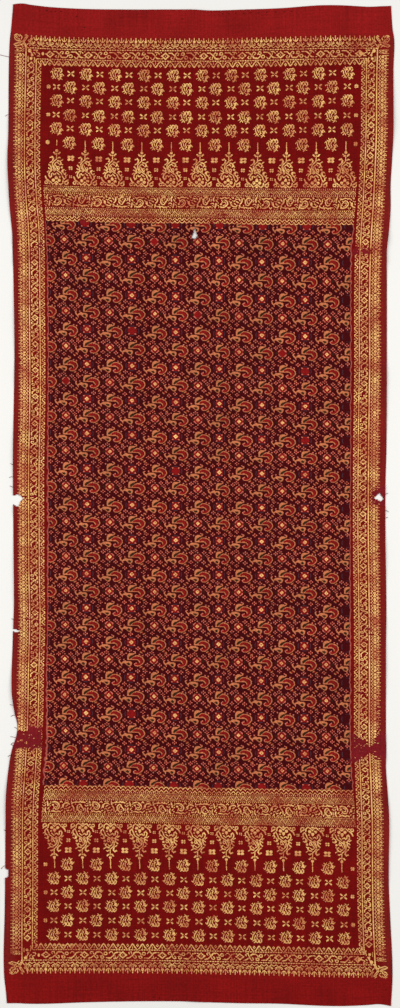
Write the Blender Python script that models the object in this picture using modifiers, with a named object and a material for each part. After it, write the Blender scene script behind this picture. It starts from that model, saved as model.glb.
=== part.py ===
"""A silk shoulder cloth with a tie-dyed field and gold-thread ends, laid out flat.

The cloth is one loom width, woven in one piece, so it is one solid: a thin sheet with the
uneven outline of old handwork, the low creases left by years of being kept folded, and the
holes that wore through where those folds cross. Metres, +Z up, +Y towards the upper end.
"""

import math
from collections import namedtuple

import bmesh
import bpy
from mathutils import Vector

MM = 0.001

# Driving sizes
CLOTH_THICKNESS = 1.2 * MM
HALF_LENGTH = 1066 * MM
ROW_SPACING = 42 * MM
COLUMN_SPACING = 44 * MM
CUTTER_REACH = 20 * MM

# The two long edges: how far each lies from the middle line, at stations along the length
Side = namedtuple("Side", "along left right")
LONG_EDGES = (
    Side(1066, -398, 411),
    Side(1020, -402, 414),
    Side(992, -405, 418),
    Side(930, -407, 416),
    Side(800, -408, 416),
    Side(737, -410, 413),
    Side(685, -408, 410),
    Side(634, -405, 410),
    Side(583, -400, 406),
    Side(545, -399, 402),
    Side(480, -397, 402),
    Side(327, -395, 402),
    Side(120, -398, 401),
    Side(45, -398, 399),
    Side(-85, -397, 399),
    Side(-212, -396, 401),
    Side(-300, -399, 400),
    Side(-395, -401, 400),
    Side(-443, -395, 400),
    Side(-469, -389, 400),
    Side(-495, -391, 400),
    Side(-522, -400, 401),
    Side(-560, -407, 400),
    Side(-620, -413, 404),
    Side(-675, -414, 407),
    Side(-800, -415, 406),
    Side(-880, -416, 409),
    Side(-960, -418, 413),
    Side(-1008, -417, 414),
    Side(-1034, -414, 413),
    Side(-1066, -411, 411),
)

# The two short ends: how far each lies past or short of HALF_LENGTH, at stations across
End = namedtuple("End", "across upper lower")
SHORT_ENDS = (
    End(-411, 5, 0),
    End(-384, 7, 0),
    End(-366, 4, 1),
    End(-320, -1, 1),
    End(-240, -5, -2),
    End(-140, -6, -4),
    End(-30, -6, -4),
    End(20, -8, -2),
    End(90, -6, 0),
    End(170, -3, 1),
    End(250, 3, 5),
    End(300, 3, 6),
    End(355, 0, 4),
    End(382, 1, 2),
    End(411, 2, 6),
)

# Creases left by folding: the cloth was halved lengthwise and folded in eighths along its length.
# A ridge stands up along its line. A furrow lies on the floor with a low swell on each side.
Crease = namedtuple("Crease", "along height half_width ridge")
CROSS_CREASES = (
    Crease(812, 1.0, 34, True),
    Crease(545, 2.0, 42, False),
    Crease(277, 1.1, 34, True),
    Crease(9, 2.2, 44, False),
    Crease(-258, 1.1, 34, True),
    Crease(-520, 2.0, 42, False),
    Crease(-790, 1.0, 34, True),
)
MIDDLE_CREASE = Crease(-7, 1.8, 38, True)

# Places along the long edges where the selvage has stretched and lifts off the floor
Lift = namedtuple("Lift", "side along height reach inward")
SELVAGE_LIFTS = (
    Lift(-1, 700, 3.0, 150, 70),
    Lift(-1, 400, 2.2, 110, 55),
    Lift(-1, 110, 2.4, 90, 60),
    Lift(-1, -150, 2.0, 120, 55),
    Lift(-1, -400, 3.4, 80, 70),
    Lift(-1, -640, 3.2, 110, 70),
    Lift(1, 840, 2.8, 120, 65),
    Lift(1, 560, 3.0, 90, 70),
    Lift(1, 240, 2.0, 120, 55),
    Lift(1, -110, 2.2, 90, 60),
    Lift(1, -340, 2.0, 100, 55),
    Lift(1, -700, 2.6, 140, 65),
)

# Worn holes and tears, as outlines in millimetres from the middle of the cloth
EDGE_NOTCH = (
    (-420, 21), (-398, 21), (-393, 21), (-390, 23), (-386, 22), (-383, 20), (-376, 16),
    (-377, 13), (-383, 7), (-384, 2), (-385, -4), (-391, -3), (-398, 2), (-420, 6),
)
SELVAGE_HOLE = (
    (386, 26), (389, 21), (393, 17), (394, 12), (389, 8), (383, 11), (379, 12), (374, 15),
    (378, 19), (382, 23),
)
MIDDLE_HOLE = (
    (-15, 571), (-15, 576), (-13, 580), (-11, 584), (-10, 592), (-9, 598), (-8, 592),
    (-6, 582), (-4, 578), (-5, 571), (-10, 569),
)
LOWER_TEAR = (
    (-430, -778), (-413, -778), (-408, -780), (-409, -785), (-407, -788), (-408, -796),
    (-413, -797), (-430, -797),
)
WORN_HOLES = {
    "edge_notch": EDGE_NOTCH,
    "selvage_hole": SELVAGE_HOLE,
    "middle_hole": MIDDLE_HOLE,
    "lower_tear": LOWER_TEAR,
}

SILK_RED = (0.32, 0.02, 0.02, 1.0)


def smooth_between(stations, key, value, at):
    """The value at a place, on a smooth curve through the stations, which run up or down."""
    ordered = sorted((getattr(s, key), getattr(s, value)) for s in stations)
    at = min(max(at, ordered[0][0]), ordered[-1][0])
    last = len(ordered) - 1
    i = next(n for n in range(last) if at <= ordered[n + 1][0])
    (x0, y0), (x1, y1) = ordered[i], ordered[i + 1]
    before, after = ordered[max(i - 1, 0)], ordered[min(i + 2, last)]
    span = x1 - x0
    slope0 = (y1 - before[1]) / (x1 - before[0]) * span
    slope1 = (after[1] - y0) / (after[0] - x0) * span
    t = (at - x0) / span
    start, end = 2 * t**3 - 3 * t**2 + 1, 3 * t**2 - 2 * t**3
    return start * y0 + (t**3 - 2 * t**2 + t) * slope0 + end * y1 + (t**3 - t**2) * slope1


def bell(distance, half_width):
    """A soft hump: 1 at its middle, falling to 0 at its half width."""
    if abs(distance) >= half_width:
        return 0.0
    return 0.5 * (1 + math.cos(math.pi * distance / half_width))


def crease_height(distance, crease):
    if crease.ridge:
        return crease.height * bell(distance, crease.half_width)
    return 0.6 * crease.height * bell(abs(distance) - crease.half_width / 2, crease.half_width / 2)


def cloth_height(across, along, left, right):
    """How far the cloth's underside is off the floor, in millimetres."""
    height = sum(crease_height(along - c.along, c) for c in CROSS_CREASES)
    height = max(height, crease_height(across - MIDDLE_CREASE.along, MIDDLE_CREASE))
    for lift in SELVAGE_LIFTS:
        edge = left if lift.side < 0 else right
        height += lift.height * bell(along - lift.along, lift.reach) * bell(across - edge, lift.inward)
    return height


def on_cloth(share_across, share_along):
    """The place of the cloth's underside, in metres, from its shares of the width and length."""
    nominal = (share_along - 0.5) * 2 * HALF_LENGTH / MM
    left = smooth_between(LONG_EDGES, "along", "left", nominal)
    right = smooth_between(LONG_EDGES, "along", "right", nominal)
    across = left + share_across * (right - left)
    upper = HALF_LENGTH / MM + smooth_between(SHORT_ENDS, "across", "upper", across)
    lower = -HALF_LENGTH / MM - smooth_between(SHORT_ENDS, "across", "lower", across)
    along = lower + share_along * (upper - lower)
    return Vector((across, along, cloth_height(across, along, left, right))) * MM


def grid_lines(low, high, spacing, creases):
    """Where the sheet's edges run: evenly spaced, with each crease's line and both its feet."""
    fixed = {low, high}
    for c in creases:
        fixed |= {c.along + c.half_width * step for step in (-1, -0.5, 0, 0.5, 1)}
    fixed = sorted(fixed)
    lines = []
    for a, b in zip(fixed, fixed[1:]):
        steps = max(1, round((b - a) / spacing))
        lines += [a + (b - a) * n / steps for n in range(steps)]
    return lines + [high]


def clear_scene():
    for thing in list(bpy.data.objects):
        bpy.data.objects.remove(thing, do_unlink=True)


def collection_named(name):
    made = bpy.data.collections.new(name)
    bpy.context.scene.collection.children.link(made)
    return made


def silk_material():
    material = bpy.data.materials.new("red woven silk")
    material.use_nodes = True
    shader = material.node_tree.nodes["Principled BSDF"]
    shader.inputs["Base Color"].default_value = SILK_RED
    shader.inputs["Roughness"].default_value = 0.55
    shader.inputs["Metallic"].default_value = 0.0
    return material


def laid_sheet(collection):
    """The cloth as a grid laid in its outline, given its thickness by Solidify."""
    half = HALF_LENGTH / MM
    widest = max(max(abs(s.left), abs(s.right)) for s in LONG_EDGES)
    rows = grid_lines(-half, half, ROW_SPACING / MM, CROSS_CREASES)
    columns = grid_lines(-widest, widest, COLUMN_SPACING / MM, [MIDDLE_CREASE])
    shares_along = [(y + half) / (2 * half) for y in rows]
    shares_across = [(x + widest) / (2 * widest) for x in columns]

    mesh = bpy.data.meshes.new("cloth")
    sheet = bmesh.new()
    bmesh.ops.create_grid(sheet, x_segments=len(columns) - 1, y_segments=len(rows) - 1, size=1)
    for vertex in sheet.verts:
        column = round((vertex.co.x + 1) / 2 * (len(columns) - 1))
        row = round((vertex.co.y + 1) / 2 * (len(rows) - 1))
        vertex.co = on_cloth(shares_across[column], shares_along[row])
    low = Vector([min(v.co[k] for v in sheet.verts) for k in range(3)])
    high = Vector([max(v.co[k] for v in sheet.verts) for k in range(3)])
    middle = (low + high) / 2
    middle.z = low.z
    bmesh.ops.translate(sheet, verts=sheet.verts, vec=-middle)
    bmesh.ops.triangulate(sheet, faces=sheet.faces)
    bmesh.ops.recalc_face_normals(sheet, faces=sheet.faces)
    if sum(face.normal.z for face in sheet.faces) < 0:
        bmesh.ops.reverse_faces(sheet, faces=sheet.faces)
    sheet.to_mesh(mesh)
    sheet.free()

    cloth = bpy.data.objects.new("cloth", mesh)
    collection.objects.link(cloth)
    cloth.data.materials.append(silk_material())
    solid = cloth.modifiers.new("thickness", "SOLIDIFY")
    solid.thickness = CLOTH_THICKNESS
    solid.offset = 1.0
    return cloth, middle


def hole_cutter(name, outline, middle, collection):
    """A prism of a hole's outline, long enough to pass right through the sheet."""
    curve = bpy.data.curves.new(name, "CURVE")
    curve.dimensions = "2D"
    curve.fill_mode = "BOTH"
    curve.extrude = CUTTER_REACH
    spline = curve.splines.new("POLY")
    spline.points.add(len(outline) - 1)
    for point, (x, y) in zip(spline.points, outline):
        point.co = (x * MM - middle.x, y * MM - middle.y, 0, 1)
    spline.use_cyclic_u = True
    drawn = bpy.data.objects.new(name + "_curve", curve)
    collection.objects.link(drawn)
    bpy.context.view_layer.update()

    evaluated = drawn.evaluated_get(bpy.context.evaluated_depsgraph_get())
    mesh = bpy.data.meshes.new_from_object(evaluated)
    prism = bmesh.new()
    prism.from_mesh(mesh)
    bmesh.ops.remove_doubles(prism, verts=prism.verts, dist=1e-6)
    bmesh.ops.recalc_face_normals(prism, faces=prism.faces)
    prism.to_mesh(mesh)
    prism.free()
    cutter = bpy.data.objects.new(name, mesh)
    collection.objects.link(cutter)
    cutter.matrix_world = drawn.matrix_world
    bpy.data.objects.remove(drawn, do_unlink=True)
    cutter.hide_render = True
    cutter.display_type = "WIRE"
    return cutter


def cut_holes(cloth, middle, collection):
    for name, outline in WORN_HOLES.items():
        cut = cloth.modifiers.new(name, "BOOLEAN")
        cut.operation = "DIFFERENCE"
        cut.solver = "EXACT"
        cut.object = hole_cutter(name, outline, middle, collection)


def build_cloth():
    clear_scene()
    cloth_parts = collection_named("shoulder cloth")
    cutters = collection_named("cutters")
    cloth, middle = laid_sheet(cloth_parts)
    cut_holes(cloth, middle, cutters)


build_cloth()
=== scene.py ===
"""A silk shoulder cloth with a tie-dyed field and gold-thread ends, laid out flat.

The ground is one sheet of red silk, one loom width. The weft of its centre field was tied and dyed
before it was woven, which draws the birds and stars. All the gold is an extra weft that floats over
the face, so it is made here as floats of thread, row by row, from charts drawn in millimetres.
Woven places are (across, along) from the middle of the cloth as it was on the loom. The cloth has
since pulled out of shape, and one function carries each woven place to where it lies now.
"""

import math
from collections import namedtuple

import bmesh
import bpy
import numpy as np
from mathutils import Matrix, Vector


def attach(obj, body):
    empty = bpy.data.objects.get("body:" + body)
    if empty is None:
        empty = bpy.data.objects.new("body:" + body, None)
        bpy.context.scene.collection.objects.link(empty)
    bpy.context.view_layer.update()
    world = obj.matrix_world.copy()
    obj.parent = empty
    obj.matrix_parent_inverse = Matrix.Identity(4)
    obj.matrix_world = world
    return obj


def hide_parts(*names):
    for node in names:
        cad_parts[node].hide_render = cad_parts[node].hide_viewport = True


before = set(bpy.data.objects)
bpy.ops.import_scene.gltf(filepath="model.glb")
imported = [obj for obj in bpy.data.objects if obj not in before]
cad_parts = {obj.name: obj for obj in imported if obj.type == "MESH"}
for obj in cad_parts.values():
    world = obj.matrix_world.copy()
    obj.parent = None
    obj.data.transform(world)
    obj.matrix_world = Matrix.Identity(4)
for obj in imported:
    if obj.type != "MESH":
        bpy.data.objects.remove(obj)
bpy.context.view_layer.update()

bl_info = {
    "name": "Silk shoulder cloth",
    "version": (1, 0, 0),
    "blender": (4, 5, 0),
    "location": "View3D > Sidebar > Shoulder cloth",
    "description": "Weaves a flat silk shoulder cloth with a tie-dyed field and gold-thread borders",
    "category": "Add Mesh",
}

MM = 0.001
SEED = 11

# The cloth as woven, in millimetres
HALF_LENGTH = 1066.0
HALF_WIDTH = 411.0
PAST_EDGE = HALF_WIDTH + 1.0
FIELD_TOP = 602.6
FIELD_BOTTOM = -604.2
DYE_LEFT = -338.4
DYE_RIGHT = 336.6
HEM_WIDTH = 9.0
# The middle of the laid outline's box, which is the frame's origin
OUTLINE_MIDDLE = (0.0, 0.5)

# The two long edges: how far each lies from the middle line, at stations along the length
Side = namedtuple("Side", "along left right")
LONG_EDGES = (
    Side(-1066, -411, 411),
    Side(-1034, -414, 413),
    Side(-1008, -417, 414),
    Side(-960, -418, 413),
    Side(-880, -416, 409),
    Side(-800, -415, 406),
    Side(-675, -414, 407),
    Side(-620, -413, 404),
    Side(-560, -407, 400),
    Side(-522, -400, 401),
    Side(-495, -391, 400),
    Side(-469, -389, 400),
    Side(-443, -395, 400),
    Side(-395, -401, 400),
    Side(-300, -399, 400),
    Side(-212, -396, 401),
    Side(-85, -397, 399),
    Side(45, -398, 399),
    Side(120, -398, 401),
    Side(327, -395, 402),
    Side(480, -397, 402),
    Side(545, -399, 402),
    Side(583, -400, 406),
    Side(634, -405, 410),
    Side(685, -408, 410),
    Side(737, -410, 413),
    Side(800, -408, 416),
    Side(930, -407, 416),
    Side(992, -405, 418),
    Side(1020, -402, 414),
    Side(1066, -398, 411),
)

# Where lines of the weave lie across the cloth, at stations along it: the field's two edges, the left
# border's outer gold line and the right border's inner one
Weave = namedtuple("Weave", "along field_left line_left line_right field_right")
WEAVE_LINES = (
    Weave(-1000, -340.0, -378.0, 355.0, 338.5),
    Weave(-950, -340.0, -378.8, 353.0, 337.5),
    Weave(-888, -339.6, -378.6, 350.4, 335.6),
    Weave(-802, -339.1, -377.8, 348.8, 334.1),
    Weave(-727, -340.1, -377.8, 348.7, 335.7),
    Weave(-674, -338.5, -377.6, 348.4, 333.5),
    Weave(-631, -335.0, -376.4, 346.8, 330.0),
    Weave(-588, -330.0, -373.6, 345.3, 325.5),
    Weave(-513, -322.5, -369.0, 342.3, 321.6),
    Weave(-430, -323.5, -365.8, 342.2, 321.2),
    Weave(-364, -324.2, -365.0, 342.4, 321.1),
    Weave(-246, -322.6, -362.2, 342.0, 321.2),
    Weave(-160, -321.8, -363.7, 341.0, 321.4),
    Weave(-64, -320.8, -364.2, 339.8, 321.8),
    Weave(86, -321.5, -364.4, 340.2, 322.6),
    Weave(225, -321.4, -361.8, 341.8, 322.8),
    Weave(310, -321.3, -361.8, 342.8, 322.6),
    Weave(439, -321.8, -362.7, 342.6, 322.6),
    Weave(535, -323.4, -363.2, 344.2, 323.3),
    Weave(600, -327.5, -365.3, 347.6, 328.5),
    Weave(640, -331.4, -368.8, 350.4, 333.0),
    Weave(674, -333.8, -371.0, 352.2, 334.3),
    Weave(721, -335.0, -373.0, 354.4, 336.1),
    Weave(792, -332.8, -373.2, 357.0, 338.5),
    Weave(856, -332.0, -372.4, 357.4, 339.0),
    Weave(920, -331.1, -371.0, 358.0, 340.1),
    Weave(990, -331.0, -369.5, 360.0, 340.5),
)

# The two short ends: how far each lies past or short of HALF_LENGTH, at stations across
End = namedtuple("End", "across upper lower")
SHORT_ENDS = (
    End(-411, 5, 0),
    End(-384, 7, 0),
    End(-366, 4, 1),
    End(-320, -1, 1),
    End(-240, -5, -2),
    End(-140, -6, -4),
    End(-30, -6, -4),
    End(20, -8, -2),
    End(90, -6, 0),
    End(170, -3, 1),
    End(250, 3, 5),
    End(300, 3, 6),
    End(355, 0, 4),
    End(382, 1, 2),
    End(411, 2, 6),
)

# How far the weft has slid along the cloth, at seven places across, from the left edge to the right
WEFT_PLACES = (-400, -297, -148, 0, 152, 302, 404)
Weft = namedtuple("Weft", "along shifts")
WEFT_SLIDES = (
    Weft(-989, (1.9, 2.4, 1.9, 0.0, -3.4, -7.1, -8.3)),
    Weft(-921, (2.6, 2.8, 1.9, 0.0, -3.6, -6.6, -7.7)),
    Weft(-802, (3.4, 3.2, 2.1, 0.0, -2.8, -6.0, -7.1)),
    Weft(-685, (4.9, 4.5, 3.2, 0.0, -2.4, -5.6, -6.4)),
    Weft(-610, (5.6, 4.9, 3.6, 0.0, -2.1, -4.7, -5.4)),
    Weft(-565, (6.8, 6.2, 3.0, 0.0, -3.6, -5.6, -6.4)),
    Weft(-490, (7.3, 6.2, 3.0, -1.7, -4.7, -7.1, -8.1)),
    Weft(-340, (10.7, 9.6, 8.1, 4.3, 0.9, -3.2, -4.3)),
    Weft(-189, (6.4, 5.8, 3.6, 2.8, 1.3, -0.2, -0.6)),
    Weft(-39, (4.7, 3.9, 1.1, -0.9, -3.9, -6.2, -6.8)),
    Weft(111, (6.8, 5.6, 1.1, -3.6, -8.3, -11.3, -12.8)),
    Weft(261, (5.6, 4.1, -1.3, -6.4, -11.1, -15.0, -16.3)),
    Weft(411, (5.6, 3.9, -1.5, -5.4, -10.7, -13.5, -15.0)),
    Weft(561, (8.1, 6.4, 1.7, 0.0, -2.8, -4.3, -5.1)),
    Weft(608, (6.7, 4.8, 0.6, 0.0, -3.0, -3.2, -3.2)),
    Weft(680, (5.8, 3.8, -0.1, -0.6, -2.6, -2.6, -2.6)),
    Weft(801, (6.4, 4.5, 0.0, -0.6, -0.3, 2.1, 2.6)),
    Weft(861, (6.2, 3.9, 0.2, -0.6, 0.7, 3.9, 4.3)),
    Weft(920, (5.5, 3.2, 0.0, -1.1, 1.5, 5.4, 5.6)),
    Weft(980, (7.7, 2.6, 0.2, -0.2, 2.2, 4.9, 4.5)),
)

# Creases left by folding, which are the solid's own. A ridge stands up along its line. A furrow lies
# on the floor with a low swell on each side.
Crease = namedtuple("Crease", "along height half_width ridge")
CROSS_CREASES = (
    Crease(812, 1.0, 34, True),
    Crease(545, 2.0, 42, False),
    Crease(277, 1.1, 34, True),
    Crease(9, 2.2, 44, False),
    Crease(-258, 1.1, 34, True),
    Crease(-520, 2.0, 42, False),
    Crease(-790, 1.0, 34, True),
)
MIDDLE_CREASE = Crease(-7, 1.8, 38, True)
# The swells beside a furrow are lower than a ridge would be
FURROW_SWELL = 0.6

# Places along the long edges where the selvage has stretched and lifts off the floor
Lift = namedtuple("Lift", "side along height reach inward")
SELVAGE_LIFTS = (
    Lift(-1, 700, 3.0, 150, 70),
    Lift(-1, 400, 2.2, 110, 55),
    Lift(-1, 110, 2.4, 90, 60),
    Lift(-1, -150, 2.0, 120, 55),
    Lift(-1, -400, 3.4, 80, 70),
    Lift(-1, -640, 3.2, 110, 70),
    Lift(1, 840, 2.8, 120, 65),
    Lift(1, 560, 3.0, 90, 70),
    Lift(1, 240, 2.0, 120, 55),
    Lift(1, -110, 2.2, 90, 60),
    Lift(1, -340, 2.0, 100, 55),
    Lift(1, -700, 2.6, 140, 65),
)

# Worn holes and tears, as outlines on the laid cloth
WORN_HOLES = {
    "edge notch": (
        (-420, 21), (-398, 21), (-393, 21), (-390, 23), (-386, 22), (-383, 20), (-376, 16),
        (-377, 13), (-383, 7), (-384, 2), (-385, -4), (-391, -3), (-398, 2), (-420, 6),
    ),
    "selvage hole": (
        (386, 26), (389, 21), (393, 17), (394, 12), (389, 8), (383, 11), (379, 12), (374, 15),
        (378, 19), (382, 23),
    ),
    "middle hole": (
        (-15, 571), (-15, 576), (-13, 580), (-11, 584), (-10, 592), (-9, 598), (-8, 592),
        (-6, 582), (-4, 578), (-5, 571), (-10, 569),
    ),
    "left notch": (
        (-420, -264), (-399, -265), (-392, -266.5), (-385, -267), (-383.5, -269.5), (-387, -272),
        (-394, -272.5), (-398, -270), (-420, -271),
    ),
    "lower tear": (
        (-430, -778), (-413, -778), (-408, -780), (-409, -785), (-407, -788), (-408, -796),
        (-413, -797), (-430, -797),
    ),
}
# Woven places where the sheet's grid is fine enough to hold those holes
FINE_ACROSS = ((-411, -397), (-397, -386), (-21, -5), (385, 397), (397, 411))
FINE_ALONG = ((-12, 40), (566, 601), (-803, -779), (-288, -264))

# Places on the laid cloth where the gold has worn away along the old folds, and the share that is gone
WORN_GOLD = {
    "left fold": (
        0.97, ((-402, -484), (-368, -484), (-366, -475), (-336, -475), (-336, -519), (-402, -521)),
    ),
    "right fold": (0.95, (
        (325, -488), (347, -499), (357, -507), (363, -514), (371, -514), (377, -494), (405, -490),
        (405, -546), (379, -546), (371, -531), (362, -531), (349, -539), (340, -548), (325, -548),
    )),
    "right upper fold": (0.85, ((347, 538), (368, 538), (368, 547), (347, 548))),
    "right upper wave": (0.85, ((332, 534), (343, 535), (342, 553), (333, 552))),
    "left upper wave": (0.85, ((-346, 549), (-336, 550), (-335, 562), (-345, 563))),
    "selvage hole": (0.95, ((371, 0), (397, 0), (398, 37), (374, 36), (369, 22))),
    "left middle fold": (0.9, ((-396, 16.5), (-340, 16), (-340, 19), (-396, 19.5))),
    "right middle fold": (0.9, ((339, -9), (350, -8), (349, 1), (340, 0))),
    "left break": (0.95, ((-372, -241), (-360, -241), (-360, -245), (-372, -245))),
    "left inner break": (0.95, ((-354, -245), (-340, -245), (-340, -249), (-354, -249))),
    "left wave break": (0.9, ((-337, -258), (-325, -258), (-325, -261.5), (-337, -261.5))),
    "right break": (0.95, ((356, -264), (368, -264), (368, -268), (356, -268))),
    "right outer break": (0.9, ((362, -275), (372, -275), (372, -279), (362, -279))),
    "right inner break": (
        0.9, ((340, -400), (350, -400), (358, -406), (358, -412), (346, -404), (340, -404)),
    ),
    "right crown wear": (0.55, ((378, -425), (392, -425), (392, -492), (380, -492))),
    "upper band": (0.6, ((-256, 603), (-241, 602), (-243, 630), (-252, 629))),
    "upper chevrons": (0.35, ((22, 600), (66, 598), (64, 622), (24, 622))),
}
# Scraps of gold that are left inside the left fold's worn place: across, along, half length
GOLD_SCRAPS = ((-388, -506, 4.5), (-380, -504, 3.5), (-369, -509, 4.0))
SCRAP_HALF_HEIGHT = 2.2
# Worn places have ragged edges: how far off its own place a float is judged, across and along
RAGGED = (1.6, 1.0)
# The silk is rubbed over a slightly larger place than the gold is lost from
RUBBED = 1.06

# Gold weft: the pitch of its rows, and the width of one step across the chart
GOLD_ROW = 1.07
GOLD_STEP = 0.535
BIND_STEPS = 9
# How far a float's ends stand off the silk, and how a short float's arch is lowered
FLOAT_FOOT = 0.03
SHORT_FLOAT = 1.5
SHORT_RISE = 0.6
CHART_ROWS = int(2 * HALF_LENGTH / GOLD_ROW)
CHART_STEPS = int(2 * HALF_WIDTH / GOLD_STEP)

# The outer line of the gold border at each end and side, about which the rest of it is drawn
UPPER_LINE = 972.1
LOWER_LINE = -976.2
LEFT_LINE = -376.1
RIGHT_LINE = 374.7
# From the outer line in to the middle of the scroll, and to the inner line
SCROLL_IN = 11.5
INNER_LINE_IN = 22.4
# How far in and out from the outer line the ends' bands reach, and how far out their corners do
ENDS_IN = 40.0
ENDS_OUT = 30.0
CORNER_OUT = 7.0
# How far in the side borders reach across the cloth, and how far their middles stop short of its ends
SIDES_IN = 45.0
SIDES_SHORT = 26.0
# Half the width of the gold lines and the bare silk left beside them
END_LINE = 0.95
END_LINE_CLEAR = 2.0
SIDE_LINES = (1.2, 1.05)
SIDE_LINE_CLEAR = 1.3
# How far the sides' crowns and waves are flattened, out of and into the border
SIDE_CROWN_REACH = 0.9
SIDE_WAVE_REACH = 0.97
# Where the lozenges of the ends' scrolls lie across the cloth, and the pitch of scrolls and spears
END_LOZENGES = (-324.0, -242.0, -161.0, -77.5, 4.5, 86.5, 168.5, 254.0, 337.0)
END_SCROLL = 82.4
END_PITCH = 20.4
# The ends' waves start out of step with the spears at the left
FIRST_WAVES = (-334.5, -314.5, -296.0, -278.0, -260.5)
# Where the lozenges of the side borders' scrolls lie along the cloth, numbered from the top
Lozenges = namedtuple("Lozenges", "number left right")
SIDE_LOZENGES = (
    Lozenges(-0.5, 968, 965),
    Lozenges(0, 936.7, 934),
    Lozenges(2, 812, 810),
    Lozenges(4, 687, 686),
    Lozenges(6, 570.5, 567),
    Lozenges(9, 396, 392),
    Lozenges(12, 227, 218),
    Lozenges(15, 50, 47),
    Lozenges(18, -125, -128),
    Lozenges(21, -294, -296),
    Lozenges(24, -467, -467),
    Lozenges(26, -560, -560),
    Lozenges(29, -746, -746),
    Lozenges(32, -929, -932.8),
    Lozenges(32.5, -960.5, -964),
)

# Woven places across that the laid shape is worked out for: both edges, the borders' outer and inner
# reach, and the field's edges between
WEAVE_PLACES = (-411.0, -397.0, -341.0, -336.0, 334.0, 341.0, 397.0, 411.0)

# The dyed field: birds stand in rows, half a repeat out of step
REPEAT_WIDTH = 95.6
REPEAT_HEIGHT = 75.07
BUNDLES = 52
FIRST_BIRD_ROW = 561.3
BIRD_COLUMNS = (
    -304.6, -258.5, -207.5, -158.2, -106.6, -60.6, -11.4, 37.0, 80.2, 131.4, 176.5, 227.3, 275.9,
)
# The same columns as the dyer spaced them
EVEN_COLUMNS = (np.arange(len(BIRD_COLUMNS)) - 1) * REPEAT_WIDTH / 2
# How finely the dyes are worked out across a repeat, and how many dyes in a row one colour ramp holds
DYE_STEPS = 256
DYES_IN_RAMP = 31
# Where a star stands from the bird of its row
STAR_ACROSS = 54.9
STAR_RISE = 0.7
# The share of the stars' gold inlays that is lost, and how far out inlays are woven at all
INLAYS_LOST = 0.04
INLAYS_LEFT = -330.0
INLAYS_RIGHT = 328.0
INLAYS_END = 598.0

# In the map for baking, the face and the underside lie side by side: the face's margins and size, how
# far the underside is moved over, and how far outside its face the rim's lower edge is set
BAKE_MARGINS = (0.01, 0.005)
BAKE_SIZE = (0.47, 0.99)
BAKE_UNDERSIDE = 0.51
BAKE_RIM = 0.002

GOLD_THREAD = "wound gold thread, worn"
FLOOR_HALF = 6.0
FLOOR_HEIGHT = -0.4
# The photo's middle is a little off the middle of the cloth, in millimetres
CAMERA_OFFSET = (2.1, 1.6)
LAMP_PLACES = {"lamp left": (-2.6, 0.25, 2.6), "lamp right": (2.6, 0.25, 2.6)}
LAMP_SIZE = (1.6, 3.0)


def linear(code):
    """A colour for shader sockets from its sRGB hex value."""
    parts = [int(code[n : n + 2], 16) / 255 for n in (1, 3, 5)]
    parts = [p / 12.92 if p <= 0.04045 else ((p + 0.055) / 1.055) ** 2.4 for p in parts]
    return (*parts, 1.0)


def colour(name, description, code):
    return bpy.props.FloatVectorProperty(
        name=name, description=description, subtype="COLOR", size=4, min=0, max=1, default=linear(code)
    )


def length(name, description, millimetres):
    return bpy.props.FloatProperty(
        name=name, description=description, unit="LENGTH", precision=5, default=millimetres * MM
    )


class ClothSizes(bpy.types.PropertyGroup):
    thickness: length("Cloth thickness", "Thickness of the woven silk", 0.8)
    grid: length("Grid spacing", "Spacing of the sheet's own grid", 7.2)
    fine_grid: length("Fine grid spacing", "Spacing of the grid about the worn holes", 2.1)
    hem_rise: length("Hem rise", "How far the turned hem stands up at each end", 0.35)
    float_width: length("Gold thread width", "Width of a gold float, a little under the row pitch", 0.96)
    float_rise: length("Gold thread rise", "How far the middle of a float stands off the silk", 0.3)
    # Real loose threads are 0.3 mm thick, too fine to show, so they are drawn coarser
    strand_width: length("Loose thread width", "Width of a loose thread", 0.9)
    bind_gap: length("Binding gap", "Gap where a warp thread ties a long float down", 0.22)
    dropped: bpy.props.FloatProperty(
        name="Lost floats", description="Share of the gold floats lost to wear", default=0.02, min=0, max=1
    )


class SilkColours(bpy.types.PropertyGroup):
    band_upper: colour("Upper end", "Red silk of the plain upper end", "#7D1110")
    band_lower: colour("Lower end", "Red silk of the plain lower end", "#740B0A")
    panel: colour("Panels", "Deep red silk behind the gold roundels", "#640403")
    selvage: colour("Selvages", "Faded red silk of the long edges", "#6D1511")
    border: colour("Borders", "Red silk between the borders' gold", "#660605")
    worn: colour("Worn silk", "Rubbed silk where the gold has gone", "#6B1319")
    dye_edge: colour("Edge of the dye", "Undyed weft at the field's sides", "#984C41")
    stitch: colour("Stitches", "Old dark sewing thread in the hems", "#26100C")


class DyeColours(bpy.types.PropertyGroup):
    maroon: colour("Maroon", "Ground of the tie-dyed field", "#3A0104")
    orange: colour("Orange", "Birds", "#B26641")
    red: colour("Red", "Tails and stars", "#780D0D")
    pink: colour("Pink", "Small dots", "#C46450")
    olive: colour("Olive", "Shadows in the wings", "#2C1C0A")
    blue_grey: colour("Blue grey", "Shadows about the stars", "#3B2A33")


class GoldColours(bpy.types.PropertyGroup):
    # The bright gold is partly the unworn metal and partly painted glints; the worn gold is the dulled metal
    bright: colour("Bright gold", "Gold thread where it is least worn", "#FFD07C")
    worn: colour("Worn gold", "Gold thread where its metal has dulled", "#B85E36")


class StageSettings(bpy.types.PropertyGroup):
    floor: colour("Floor", "Pale floor", "#DEDCD8")
    camera_height: length("Camera height", "Height of the camera over the cloth", 5000)
    view_height: length("View height", "Length of floor that the picture takes in", 2157)
    sky: bpy.props.FloatProperty(name="Fill light", description="Even light from all round", default=0.5)
    lamps: bpy.props.FloatProperty(
        name="Lamps", description="Power of each soft lamp", default=86.0, unit="POWER"
    )


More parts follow.
